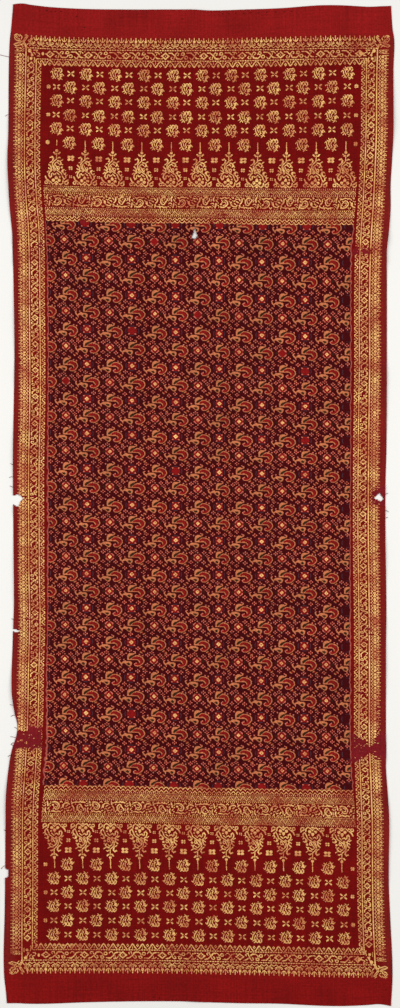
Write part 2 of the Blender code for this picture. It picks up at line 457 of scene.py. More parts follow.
def smooth_between(places, values, at):
    """Values at many places, on a smooth curve through the given ones, which run upwards.

    values is a row of numbers, or holds such a row for each of the places asked for.
    """
    places, values, at = (np.asarray(a, dtype=float) for a in (places, values, at))
    last = len(places) - 1
    at = np.clip(at, places[0], places[-1])
    i = np.clip(np.searchsorted(places, at) - 1, 0, last - 1)
    before, after = np.maximum(i - 1, 0), np.minimum(i + 2, last)

    def value(n):
        return values[n] if values.ndim == 1 else values[np.arange(len(at)), n]

    x0, x1 = places[i], places[i + 1]
    y0, y1 = value(i), value(i + 1)
    span = x1 - x0
    slope0 = (y1 - value(before)) / (x1 - places[before]) * span
    slope1 = (value(after) - y0) / (places[after] - x0) * span
    t = (at - x0) / span
    start, end = 2 * t**3 - 3 * t**2 + 1, 3 * t**2 - 2 * t**3
    return start * y0 + (t**3 - 2 * t**2 + t) * slope0 + end * y1 + (t**3 - t**2) * slope1


def station(stations, key, value, at):
    """A column of a table of stations, read smoothly at many places."""
    return smooth_between([getattr(s, key) for s in stations], [getattr(s, value) for s in stations], at)


def bell(distance, half_width):
    """A soft hump: 1 at its middle, falling to 0 at its half width."""
    return np.where(
        np.abs(distance) < half_width, 0.5 * (1 + np.cos(np.pi * distance / half_width)), 0.0
    )


def crease_height(distance, crease):
    if crease.ridge:
        return crease.height * bell(distance, crease.half_width)
    return FURROW_SWELL * crease.height * bell(np.abs(distance) - crease.half_width / 2, crease.half_width / 2)


def cloth_height(x, y, left, right):
    """How far the cloth's underside is off the floor, in millimetres."""
    height = sum(crease_height(y - c.along, c) for c in CROSS_CREASES)
    height = np.maximum(height, crease_height(x - MIDDLE_CREASE.along, MIDDLE_CREASE))
    for lift in SELVAGE_LIFTS:
        edge = left if lift.side < 0 else right
        height = height + lift.height * bell(y - lift.along, lift.reach) * bell(x - edge, lift.inward)
    return height


def slid_along(across, along):
    """Where a woven place lies along the cloth, now that its weft has slid."""
    first, last = WEFT_SLIDES[0].along, WEFT_SLIDES[-1].along
    by_place = [[w.shifts[n] for w in WEFT_SLIDES] for n in range(len(WEFT_PLACES))]
    held = np.clip(along, first, last)
    shifts = np.stack([smooth_between([w.along for w in WEFT_SLIDES], s, held) for s in by_place], axis=-1)
    shift = smooth_between(WEFT_PLACES, shifts, across)
    upper = station(SHORT_ENDS, "across", "upper", across)
    lower = -station(SHORT_ENDS, "across", "lower", across)
    up = np.clip((along - last) / (HALF_LENGTH - last), 0, 1)
    down = np.clip((first - along) / (HALF_LENGTH + first), 0, 1)
    return along + shift * (1 - up) * (1 - down) + upper * up + lower * down


def laid(across, along):
    """Carries woven places to where they lie: across, along, and the two long edges there."""
    across, along = np.broadcast_arrays(np.asarray(across, float), np.asarray(along, float))
    across, along = across.ravel(), along.ravel()
    y = slid_along(across, along)
    left = station(LONG_EDGES, "along", "left", y)
    right = station(LONG_EDGES, "along", "right", y)
    keys = ("field_left", "line_left", "line_right", "field_right")
    lines = [station(WEAVE_LINES, "along", key, y) for key in keys]
    field_left, line_left, line_right, field_right = lines
    right_inner = RIGHT_LINE - INNER_LINE_IN
    # The gold borders keep their width; the selvages and the field are stretched to fit between
    lying = (
        left,
        line_left + WEAVE_PLACES[1] - LEFT_LINE,
        line_left + WEAVE_PLACES[2] - LEFT_LINE,
        field_left,
        field_right,
        line_right + WEAVE_PLACES[5] - right_inner,
        line_right + WEAVE_PLACES[6] - right_inner,
        right,
    )
    x = np.zeros(len(across))
    for n, (start, end) in enumerate(zip(WEAVE_PLACES, WEAVE_PLACES[1:])):
        inside = (across >= start) & (across <= end)
        share = (across - start) / (end - start)
        x = np.where(inside, lying[n] + (lying[n + 1] - lying[n]) * share, x)
    return x, y, left, right


def placed(across, along, lift):
    """Points in metres for woven places, lift millimetres above the cloth's underside."""
    x, y, left, right = laid(across, along)
    z = cloth_height(x, y, left, right) + lift
    return np.stack([x - OUTLINE_MIDDLE[0], y - OUTLINE_MIDDLE[1], z], axis=-1) * MM


def inside_outline(x, y, outline):
    """Which places lie inside an outline, by how often a line to the right crosses it."""
    found = np.zeros(np.shape(x), bool)
    for (x0, y0), (x1, y1) in zip(outline, outline[1:] + outline[:1]):
        if y0 == y1:
            continue
        crosses = ((y0 > y) != (y1 > y)) & (x < (x1 - x0) * (y - y0) / (y1 - y0) + x0)
        found ^= crosses
    return found


# A shape says which places it covers, what it puts there, and the box that holds it
Shape = namedtuple("Shape", "covers ink low high")


def stroke(points, width, ink=True):
    """A line through the points with round ends."""
    points = np.asarray(points, float)

    def covers(x, y):
        found = np.zeros(x.shape, bool)
        for (x0, y0), (x1, y1) in zip(points, points[1:]):
            run, rise = x1 - x0, y1 - y0
            share = ((x - x0) * run + (y - y0) * rise) / max(run**2 + rise**2, 1e-9)
            share = np.clip(share, 0, 1)
            found |= np.hypot(x - x0 - share * run, y - y0 - share * rise) < width / 2
        return found

    return Shape(covers, ink, points.min(axis=0) - width / 2, points.max(axis=0) + width / 2)


def spot(x, y, rx, ry=None, ink=True):
    """A round or oval spot."""
    ry = ry or rx
    return Shape(
        lambda px, py: ((px - x) / rx) ** 2 + ((py - y) / ry) ** 2 < 1,
        ink, np.array([x - rx, y - ry]), np.array([x + rx, y + ry]),
    )


def ring(x, y, rx, ry, width, ink=True):
    """A round or oval ring, rx and ry to the middle of its line."""
    size = min(rx, ry)
    reach = width / 2
    return Shape(
        lambda px, py: np.abs(np.hypot((px - x) / rx, (py - y) / ry) - 1) * size < reach,
        ink, np.array([x - rx - reach, y - ry - reach]), np.array([x + rx + reach, y + ry + reach]),
    )


def lozenge(x, y, rx, ry, width=0.0, ink=True):
    """A diamond standing on its point, solid or, with a width, only its outline."""
    hollow = 1 - width / min(rx, ry) * 1.4 if width else -1.0

    def covers(px, py):
        far = np.abs(px - x) / rx + np.abs(py - y) / ry
        return (far < 1) & (far > hollow)

    return Shape(covers, ink, np.array([x - rx, y - ry]), np.array([x + rx, y + ry]))


def patch(points, ink=True):
    """A solid patch inside an outline."""
    corners = np.asarray(points, float)
    return Shape(
        lambda x, y: inside_outline(x, y, tuple(points)), ink, corners.min(axis=0), corners.max(axis=0)
    )


def both_sides(*shapes):
    """Shapes with their mirror images about the motif's own middle line."""
    mirrored = [
        Shape(
            lambda x, y, s=s: s.covers(-x, y), s.ink,
            np.array([-s.high[0], s.low[1]]), np.array([-s.low[0], s.high[1]]),
        )
        for s in shapes
    ]
    return tuple(shapes) + tuple(mirrored)


def new_chart():
    """Squared paper for the whole cloth: True where gold floats over the face."""
    return np.zeros((CHART_ROWS, CHART_STEPS), bool)


def chart_across():
    return (np.arange(CHART_STEPS) + 0.5) * GOLD_STEP - HALF_WIDTH


def chart_along():
    return (np.arange(CHART_ROWS) + 0.5) * GOLD_ROW - HALF_LENGTH


def stamp(chart, across, along, motif, turns=0, stretch=(1.0, 1.0)):
    """Charts a motif about a woven place, given quarter turns anticlockwise and stretched."""
    low = np.min([s.low for s in motif], axis=0) * stretch
    high = np.max([s.high for s in motif], axis=0) * stretch
    corners = [(x, y) for x in (low[0], high[0]) for y in (low[1], high[1])]
    for _ in range(turns):
        corners = [(-y, x) for x, y in corners]
    (x0, y0), (x1, y1) = np.min(corners, axis=0), np.max(corners, axis=0)
    first = max(0, int((across + x0 + HALF_WIDTH) / GOLD_STEP) - 1)
    last = min(CHART_STEPS, int((across + x1 + HALF_WIDTH) / GOLD_STEP) + 2)
    bottom = max(0, int((along + y0 + HALF_LENGTH) / GOLD_ROW) - 1)
    top = min(CHART_ROWS, int((along + y1 + HALF_LENGTH) / GOLD_ROW) + 2)
    if first >= last or bottom >= top:
        return
    x, y = np.meshgrid(chart_across()[first:last] - across, chart_along()[bottom:top] - along)
    for _ in range(turns):
        x, y = y, -x
    x, y = x / stretch[0], y / stretch[1]
    window = chart[bottom:top, first:last]
    for shape in motif:
        window[shape.covers(x, y)] = shape.ink


def fill(chart, left, right, low, high, wanted=True):
    """Charts a plain bar between woven places, or whatever wanted says of each step in it."""
    first, last = (max(0, int(round((x + HALF_WIDTH) / GOLD_STEP))) for x in (left, right))
    bottom, top = (max(0, int(round((y + HALF_LENGTH) / GOLD_ROW))) for y in (low, high))
    if callable(wanted):
        x, y = np.meshgrid(np.arange(first, last), np.arange(bottom, top))
        chart[bottom:top, first:last] |= wanted(x, y)
    else:
        chart[bottom:top, first:last] = wanted


def add_node(tree, kind, given):
    """Adds a node, and gives its properties and sockets their values, or another node's output."""
    made = tree.nodes.new(kind)
    for name, value in given.items():
        if isinstance(name, str) and hasattr(made, name):
            setattr(made, name, value)
        elif isinstance(value, bpy.types.NodeSocket):
            tree.links.new(value, made.inputs[name])
        else:
            made.inputs[name].default_value = value
    return made


def new_material(name, roughness=0.5, gloss=0.5):
    """A material with its tree emptied but for the shader and the output."""
    material = bpy.data.materials.new(name)
    material.use_nodes = True
    shader = material.node_tree.nodes["Principled BSDF"]
    shader.inputs["Roughness"].default_value = roughness
    shader.inputs["Specular IOR Level"].default_value = gloss
    return material, material.node_tree, shader


def map_place(tree, name):
    """A place in one of a mesh's maps."""
    return add_node(tree, "ShaderNodeUVMap", {"uv_map": name}).outputs["UV"]


def across_and_along(tree, place):
    parts = add_node(tree, "ShaderNodeSeparateXYZ", {0: place})
    return parts.outputs["X"], parts.outputs["Y"]


def maths(tree, operation, *values):
    """The result of a sum; each value is a number or another node's output."""
    return add_node(tree, "ShaderNodeMath", {"operation": operation, **dict(enumerate(values))}).outputs[0]


def shade(tree, value, low, high, to_low=0.0, to_high=1.0):
    """A value that runs from low to high, made to run from to_low to to_high and held there."""
    return add_node(
        tree, "ShaderNodeMapRange", {0: value, 1: low, 2: high, 3: to_low, 4: to_high}
    ).outputs[0]


def mix(tree, amount, under, over, blend="MIX"):
    """Two colours, the second laid over the first by an amount."""
    given = {"data_type": "RGBA", "blend_type": blend, 0: amount, 6: under, 7: over}
    return add_node(tree, "ShaderNodeMix", given).outputs[2]


def streaks(tree, place, scale, detail):
    """Soft noise, drawn out across or along the weave where its scale is small."""
    stretched = add_node(tree, "ShaderNodeVectorMath", {"operation": "MULTIPLY", 0: place, 1: scale})
    given = {"noise_dimensions": "2D", "Vector": stretched.outputs[0], "Scale": 1.0, "Detail": detail}
    return add_node(tree, "ShaderNodeTexNoise", given).outputs["Fac"]


def mesh_piece(name, points, faces, maps, material):
    """A piece from points in metres and four-cornered faces, with its maps one value a corner."""
    mesh = bpy.data.meshes.new(name)
    mesh.vertices.add(len(points))
    mesh.vertices.foreach_set("co", np.asarray(points, np.float32).ravel())
    mesh.loops.add(faces.size)
    mesh.loops.foreach_set("vertex_index", faces.astype(np.int32).ravel())
    mesh.polygons.add(len(faces))
    mesh.polygons.foreach_set("loop_start", np.arange(0, faces.size, 4, dtype=np.int32))
    mesh.update(calc_edges=True)
    for map_name, values in maps.items():
        layer = mesh.uv_layers.new(name=map_name)
        layer.uv.foreach_set("vector", np.asarray(values, np.float32).ravel())
    mesh.shade_smooth()
    mesh.materials.append(material)
    piece = bpy.data.objects.new(name, mesh)
    bpy.context.scene.collection.objects.link(piece)
    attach(piece, "root")
    return piece


def grid_lines(low, high, spacing, fine_spacing, fine_parts, extra):
    """Where the sheet's grid runs: evenly spaced, closer in the fine parts, through the extras."""
    fixed = sorted({low, high, *extra, *(x for part in fine_parts for x in part)})
    lines = []
    for a, b in zip(fixed, fixed[1:]):
        fine = any(p[0] <= a and b <= p[1] for p in fine_parts)
        steps = max(1, round((b - a) / (fine_spacing if fine else spacing)))
        lines += [a + (b - a) * n / steps for n in range(steps)]
    return np.array(lines + [high])


def dye_place(across, along):
    """Woven places to places in the dyer's repeat, where the birds stand evenly."""
    columns = np.array(BIRD_COLUMNS)
    found = smooth_between(columns, EVEN_COLUMNS, across)
    found = np.where(across < columns[0], EVEN_COLUMNS[0] + across - columns[0], found)
    found = np.where(across > columns[-1], EVEN_COLUMNS[-1] + across - columns[-1], found)
    return found, along - FIRST_BIRD_ROW


def dyed_shapes():
    """The birds, stars and dots of one repeat, in millimetres from a bird's wing corner.

    Two lists: the even rows' and the odd rows', which stand half a repeat across from each other.
    """
    wing = (
        patch(
            ((-0.6, 0.2), (-0.8, 8.0), (0.8, 12.8), (4.6, 14.8), (10.0, 14.8), (13.8, 13.8), (12.0, 10.9),
             (9.0, 8.8), (5.4, 6.0), (3.4, 2.4), (3.0, 0.0)),
            "orange",
        ),
        stroke(((10.0, 13.2), (14.4, 13.6), (16.4, 15.6), (15.4, 17.2)), 2.0, "orange"),
        stroke(((14.8, 17.4), (11.8, 18.6)), 1.6, "pink"),
        stroke(((0.6, 0.7), (8.0, 0.6), (16.0, 1.0), (20.4, 0.4), (23.2, -2.2), (24.6, -5.0)), 2.0, "orange"),
    )
    wing_shadow = patch(
        ((1.6, 2.6), (3.0, 6.4), (6.4, 9.6), (12.4, 11.6), (14.0, 10.4), (11.0, 6.6), (7.6, 3.4),
         (4.4, 1.8)),
        "olive",
    )
    tail = (
        stroke(
            ((7.0, 2.6), (11.6, 5.6), (14.6, 8.0), (18.4, 9.2), (24.0, 8.2), (29.8, 5.4), (32.8, 1.0),
             (33.0, -3.4)),
            2.0, "orange",
        ),
        stroke(((33.0, -3.4), (30.2, -7.6), (25.6, -11.4), (21.2, -13.0), (16.4, -12.2)), 1.8, "orange"),
        stroke(((15.6, -11.8), (13.8, -8.9), (15.4, -7.6), (18.2, -6.2)), 1.8, "pink"),
        stroke(
            ((11.6, 3.2), (15.4, 5.2), (20.0, 5.4), (25.0, 2.9), (28.0, -1.4), (27.6, -5.6), (24.8, -8.8),
             (20.8, -10.0), (17.4, -9.4)),
            4.6, "red",
        ),
    )
    head = (
        stroke(((-18.4, -1.4), (-16.8, -5.2), (-13.4, -8.4)), 2.7, "orange"),
        stroke(((-17.6, -0.4), (-15.4, 0.8)), 1.7, "pink"),
        spot(-8.3, 0.9, 1.5, 1.3, "pink"),
        stroke(((-13.2, -8.6), (-10.2, -5.6)), 2.6, "orange"),
        stroke(((-12.6, -9.8), (-12.0, -11.6)), 1.8, "pink"),
        patch(
            ((-10.6, -4.4), (-7.6, -1.6), (-5.0, -1.8), (-1.4, -2.6), (5.2, -2.8), (8.4, -5.0), (9.0, -8.0),
             (7.4, -11.4), (4.0, -14.0), (0.4, -12.6), (-3.4, -9.4), (-6.4, -7.2), (-10.0, -7.0)),
            "orange",
        ),
        patch(((-3.4, -6.8), (2.8, -6.2), (5.8, -8.2), (4.6, -11.2), (1.4, -11.6), (-1.6, -9.0)), "olive"),
        spot(24.0, 11.7, 1.5, 1.3, "pink"),
        spot(30.7, 9.6, 1.5, 1.3, "pink"),
        spot(-3.0, 14.0, 1.4, 1.2, "pink"),
    )
    bird = wing + tail + (wing_shadow,) + head

    def moved(shapes, across, along):
        return tuple(
            Shape(
                lambda x, y, s=s: s.covers(x - across, y - along), s.ink,
                s.low + (across, along), s.high + (across, along),
            )
            for s in shapes
        )

    def diamonds(*places):
        found = []
        for x, y in places:
            ends = ((3.5, 0), (-3.5, 0), (0, 2.8), (0, -2.8))
            found += [spot(x + dx, y + dy, 1.25, 1.15, "pink") for dx, dy in ends]
            found.append(spot(x, y, 1.5, 1.2, "red"))
        return tuple(found)

    def bars(x, y, lean):
        """Two orange bars beside a red eye; lean is 1 for bars that rise to the right."""
        return (
            spot(x, y, 2.2, 1.7, "red"),
            stroke(((x - 4.4, y + lean * 0.6), (x - 1.0, y + lean * 3.0)), 1.9, "orange"),
            stroke(((x + 1.0, y - lean * 3.0), (x + 4.4, y - lean * 0.6)), 1.9, "orange"),
        )

    x, y = STAR_ACROSS, STAR_RISE
    lozenge_star = (
        stroke(((x - 14.6, y), (x - 11.4, y)), 2.6, "olive"),
        stroke(((x + 11.4, y), (x + 14.6, y)), 2.6, "olive"),
        spot(x - 12.3, y, 2.0, 2.2, "olive"),
        spot(x + 12.3, y, 2.0, 2.2, "olive"),
        spot(x, y + 10.6, 3.4, 1.8, "olive"),
        spot(x, y - 10.3, 3.4, 1.8, "olive"),
        lozenge(x, y, 10.0, 8.4, ink="red"),
        *[spot(x + sx * dx, y + sy * dy, 1.3, 1.2, "pink") for sx in (-1, 1) for sy in (-1, 1)
          for dx, dy in ((8.0, 3.6), (6.0, 5.4), (4.0, 7.2))],
        spot(x, y + 11.0, 1.3, 1.1, "pink"),
        spot(x, y - 10.7, 1.3, 1.1, "pink"),
    )
    cross_star = (
        stroke(((x - 12.2, y - 4.4), (x - 13.6, y), (x - 12.2, y + 4.4)), 1.5, "blue_grey"),
        stroke(((x + 12.2, y - 4.4), (x + 13.6, y), (x + 12.2, y + 4.4)), 1.5, "blue_grey"),
        patch(((x - 4.6, y - 8.4), (x + 4.6, y - 8.4), (x + 4.6, y + 8.4), (x - 4.6, y + 8.4)), "red"),
        patch(((x - 9.4, y - 4.2), (x + 9.4, y - 4.2), (x + 9.4, y + 4.2), (x - 9.4, y + 4.2)), "red"),
        *[spot(x + dx, y + dy, 1.7, 1.6, "pink") for dx in (-6.4, 6.4) for dy in (-6.9, 6.9)],
        stroke(((x - 4.0, y + 10.6), (x + 3.6, y + 10.6)), 1.3, "blue_grey"),
        stroke(((x - 3.7, y - 10.4), (x + 3.7, y - 10.4)), 1.3, "blue_grey"),
    )
    even = bird + diamonds(
        (-27.1, 11.7), (-11.7, 11.7), (-20.3, 5.3), (40.7, 11.7), (49.7, 16.3), (40.3, -9.7), (-27.6, -10.0),
        (50.3, -16.3),
    )
    odd = moved(bird, 1.0, -2.3) + diamonds(
        (-27.0, 14.2), (-11.7, 14.0), (-17.0, 5.0), (39.7, 14.3), (53.3, 18.7), (41.0, -12.7), (-27.0, -12.7),
        (51.7, -17.0),
    )
    even += bars(-16.3, 18.7, 1) + bars(30.3, 18.3, -1) + bars(-18.3, -16.7, -1) + bars(30.0, -16.3, 1)
    return even + lozenge_star, odd + cross_star


def dyed_bundles(inks):
    """For each bundle of weft in a repeat, bottom up, where each dye starts, as shares of its width."""
    x, y = np.meshgrid(
        (np.arange(DYE_STEPS) + 0.5) / DYE_STEPS * REPEAT_WIDTH,
        (np.arange(BUNDLES) + 0.5) / BUNDLES * REPEAT_HEIGHT,
    )
    painted = np.zeros(x.shape, int)
    even, odd = dyed_shapes()
    for shapes, across, along in ((even, 0, 0), (odd, REPEAT_WIDTH / 2, REPEAT_HEIGHT / 2)):
        for shape in shapes:
            for columns in (-1, 0, 1, 2):
                for rows in (-1, 0, 1, 2):
                    right = x - across - columns * REPEAT_WIDTH
                    up = y - along - rows * REPEAT_HEIGHT
                    painted[shape.covers(right, up)] = inks.index(shape.ink)
    bundles = []
    for row in painted:
        starts = [0] + [n for n in range(1, DYE_STEPS) if row[n] != row[n - 1]]
        while len(starts) > DYES_IN_RAMP:
            spans = [b - a for a, b in zip(starts[1:], starts[2:] + [DYE_STEPS])]
            starts.pop(spans.index(min(spans)) + 1)
        bundles.append([(n / DYE_STEPS, inks[row[n]]) for n in starts])
    return bundles


def dyed_field_colour(tree, dyes, woven_across):
    """Nodes for the colour of the tie-dyed weft, bundle by bundle, over the map named dye."""
    inks = ("maroon", "orange", "red", "pink", "olive", "blue_grey")
    place = map_place(tree, "dye")
    across, along = across_and_along(tree, place)
    up_repeat = maths(tree, "FRACT", maths(tree, "DIVIDE", along, REPEAT_HEIGHT))
    bundle = maths(tree, "MULTIPLY", up_repeat, BUNDLES)
    # Each thread takes the dye a little to one side, so that edges are feathered along the weft
    slip = maths(tree, "MULTIPLY_ADD", streaks(tree, place, (0.02, 1.4, 0), 1.0), 3.0, -1.5)
    slipped = maths(tree, "ADD", across, slip)
    along_weft = maths(tree, "FRACT", maths(tree, "DIVIDE", slipped, REPEAT_WIDTH))
    found = None
    for n, starts in enumerate(dyed_bundles(inks)):
        ramp = add_node(tree, "ShaderNodeValToRGB", {"Fac": along_weft})
        stops = ramp.color_ramp
        stops.interpolation = "CONSTANT"
        stops.elements.remove(stops.elements[1])
        stops.elements[0].position = 0.0
        stops.elements[0].color = getattr(dyes, starts[0][1])
        for position, ink in starts[1:]:
            stops.elements.new(position).color = getattr(dyes, ink)
        dyed = ramp.outputs["Color"]
        if found is None:
            found = dyed
        else:
            found = mix(tree, maths(tree, "GREATER_THAN", bundle, float(n)), found, dyed)
    # The last stars at the right edge were left undyed but for their shadows
    from_star = maths(tree, "ABSOLUTE", maths(tree, "SUBTRACT", up_repeat, 0.51))
    in_column = shade(tree, woven_across, 319, 321)
    last_star = maths(tree, "MULTIPLY", shade(tree, from_star, 0.14, 0.13), in_column)
    return mix(tree, last_star, found, dyes.maroon)


def silk_material(silk, dyes):
    """Plain-woven silk, reeled and dyed red, with the tie-dyed weft in its field.

    The eye gets a soft low gloss, faint streaks of uneven dye along the warp, and a fine rib. The
    threads are 0.35 mm apart, too fine to show, so the rib is drawn at the gold's row pitch.
    """
    material, tree, shader = new_material("plain-woven red silk with tie-dyed weft", 0.62, 0.05)
    place = map_place(tree, "weave")
    across, along = across_and_along(tree, place)
    from_middle = maths(tree, "ABSOLUTE", across)
    from_centre = maths(tree, "ABSOLUTE", along)

    def both(first, second):
        return maths(tree, "MULTIPLY", first, second)

    # Plain ends, selvages, borders and panels
    ground = mix(tree, shade(tree, along, -900, 900), silk.band_lower, silk.band_upper)
    ends = shade(tree, from_centre, 1002, 992)
    ground = mix(tree, both(ends, shade(tree, from_middle, 412, 384)), ground, silk.border)
    ground = mix(tree, both(ends, shade(tree, from_middle, 384, 399)), ground, silk.selvage)
    in_panel = both(shade(tree, from_centre, 944, 934), shade(tree, from_middle, 345, 338))
    ground = mix(tree, in_panel, ground, silk.panel)
    # The field, with the wavy edge where the dyed weft meets the plain one
    waver = shade(tree, streaks(tree, place, (0.0, 0.055, 0), 3.0), 0.3, 0.7, -1.6, 1.6)
    wavy = maths(tree, "ADD", across, waver)
    below_top = shade(tree, along, FIELD_TOP + 0.4, FIELD_TOP - 0.4)
    in_rows = both(below_top, shade(tree, along, FIELD_BOTTOM - 0.4, FIELD_BOTTOM + 0.4))
    from_left = shade(tree, wavy, DYE_LEFT - 0.1, DYE_LEFT + 0.5)
    from_right = shade(tree, wavy, DYE_RIGHT + 0.1, DYE_RIGHT - 0.5)
    ground = mix(tree, both(in_rows, both(from_left, from_right)), ground, silk.dye_edge)
    left_in = shade(tree, wavy, DYE_LEFT + 1.2, DYE_LEFT + 2.2)
    right_in = shade(tree, wavy, DYE_RIGHT - 1.2, DYE_RIGHT - 2.2)
    dyed = dyed_field_colour(tree, dyes, across)
    ground = mix(tree, both(in_rows, both(left_in, right_in)), ground, dyed)
    # Wear, carried by the sheet's own points, broken up by the weave
    worn = add_node(tree, "ShaderNodeAttribute", {"attribute_name": "worn"}).outputs["Fac"]
    rough_edge = shade(tree, streaks(tree, place, (0.12, 0.3, 0), 3.0), 0.3, 0.7, -0.35, 0.35)
    worn = shade(tree, maths(tree, "ADD", worn, both(worn, rough_edge)), 0.25, 0.85)
    ground = mix(tree, worn, ground, silk.worn)
    # Uneven dye: streaks along the warp, lines along the weft, broad mottling, fine speckle
    uneven = 1.0
    for scale, detail, spread in (
        ((0.45, 0.006, 0), 2.0, 0.14),
        ((0.01, 0.4, 0), 2.0, 0.1),
        ((0.012, 0.012, 0), 3.0, 0.12),
        ((0.22, 0.26, 0), 2.0, 0.18),
    ):
        noise = streaks(tree, place, scale, detail)
        uneven = both(uneven, shade(tree, noise, 0.25, 0.75, 1 - spread, 1 + spread))
    tree.links.new(mix(tree, 1.0, ground, uneven, "MULTIPLY"), shader.inputs["Base Color"])
    # Rib of the weave
    rib = maths(tree, "SINE", maths(tree, "MULTIPLY", along, 2 * math.pi / GOLD_ROW))
    relief = maths(tree, "ADD", rib, streaks(tree, place, (0.9, 0.9, 0), 2.0))
    bump = add_node(tree, "ShaderNodeBump", {"Strength": 0.25, "Distance": 0.00015, "Height": relief})
    tree.links.new(bump.outputs["Normal"], shader.inputs["Normal"])
    return material


def gold_material(gold):
    """Gold thread: gilt strip wound on a silk core, with much of its metal dulled by wear.

    The eye gets a warm metal gleam that changes from thread to thread and fades in broad patches.
    Its colour runs at random between dulled gold and a bright gold that is partly clean metal and
    partly painted glints.
    """
    material, tree, shader = new_material(GOLD_THREAD)
    place = map_place(tree, "weave")
    thread = streaks(tree, place, (0.12, 0.9, 0), 1.0)
    broad = streaks(tree, place, (0.02, 0.03, 0), 2.0)
    # The amount runs from bright gold, partly clean metal and partly painted glints, to dulled gold; roughness
    # follows it
    wear = shade(tree, maths(tree, "ADD", thread, broad), 0.68, 1.24)
    tree.links.new(mix(tree, wear, gold.bright, gold.worn), shader.inputs["Base Color"])
    tree.links.new(shade(tree, wear, 0.0, 1.0, 0.38, 0.6), shader.inputs["Roughness"])
    shader.inputs["Metallic"].default_value = 0.35
    return material


def gold_piece(name, chart, material, sizes, seed):
    """Every float of a chart as a thread: a low arch between the warp threads that tie it down."""
    rows, steps = np.indices(chart.shape)
    tie = 1 + (steps + (rows % 3) * 3) // BIND_STEPS
    label = np.where(chart, tie, 0)
    empty = np.zeros((len(chart), 1), label.dtype)
    before, after = np.hstack([empty, label[:, :-1]]), np.hstack([label[:, 1:], empty])
    row, start = np.nonzero((label != 0) & (label != before))
    end = np.nonzero((label != 0) & (label != after))[1]
    tied_before = before[row, start] != 0
    tied_after = after[row, end] != 0
    gap = sizes.bind_gap / MM / 2
    left = start * GOLD_STEP - HALF_WIDTH + gap * tied_before
    right = (end + 1) * GOLD_STEP - HALF_WIDTH - gap * tied_after
    along = (row + 0.5) * GOLD_ROW - HALF_LENGTH

    x, y, _, _ = laid((left + right) / 2, along)
    chance = np.random.default_rng(SEED + seed)
    fate = chance.random(len(x))
    lost = fate < sizes.dropped
    ragged_x = x + chance.normal(0, RAGGED[0], len(x))
    ragged_y = y + chance.normal(0, RAGGED[1], len(x))
    for outline in WORN_HOLES.values():
        lost |= inside_outline(x, y, outline)
    for share, outline in WORN_GOLD.values():
        lost |= inside_outline(ragged_x, ragged_y, outline) & (fate < share)
    for scrap_x, scrap_y, half in GOLD_SCRAPS:
        lost &= ~((np.abs(x - scrap_x) < half) & (np.abs(y - scrap_y) < SCRAP_HALF_HEIGHT))
    left, right, along = left[~lost], right[~lost], along[~lost]

    half_width = sizes.float_width / MM / 2
    surface = sizes.thickness / MM
    across = np.stack([left, (left + right) / 2, right], axis=-1)
    rise = np.where(right - left > SHORT_FLOAT, 1.0, SHORT_RISE) * sizes.float_rise / MM
    foot = np.full_like(rise, FLOAT_FOOT)
    lift = np.stack([foot, rise, foot], axis=-1) + surface
    woven = []
    points = []
    for side in (-half_width, half_width):
        rows_along = np.repeat(along[:, None] + side, 3, axis=1)
        points.append(placed(across, rows_along, lift.ravel()))
        woven.append(np.stack([across.ravel(), rows_along.ravel()], axis=-1))
    points = np.concatenate(points)
    woven = np.concatenate(woven)
    count = len(left)
    base = np.arange(count)[:, None] * 3
    other = base + 3 * count
    faces = np.concatenate(
        [np.hstack([base, base + 1, other + 1, other]), np.hstack([base + 1, base + 2, other + 2, other + 1])]
    )
    low, high = points[:, :2].min(axis=0), points[:, :2].max(axis=0)
    flat = 0.01 + 0.98 * (points[:, :2] - low) / (high - low)
    maps = {"weave": woven[faces.ravel()], "OFBake": flat[faces.ravel()]}
    return mesh_piece(name, points, faces, maps, material)


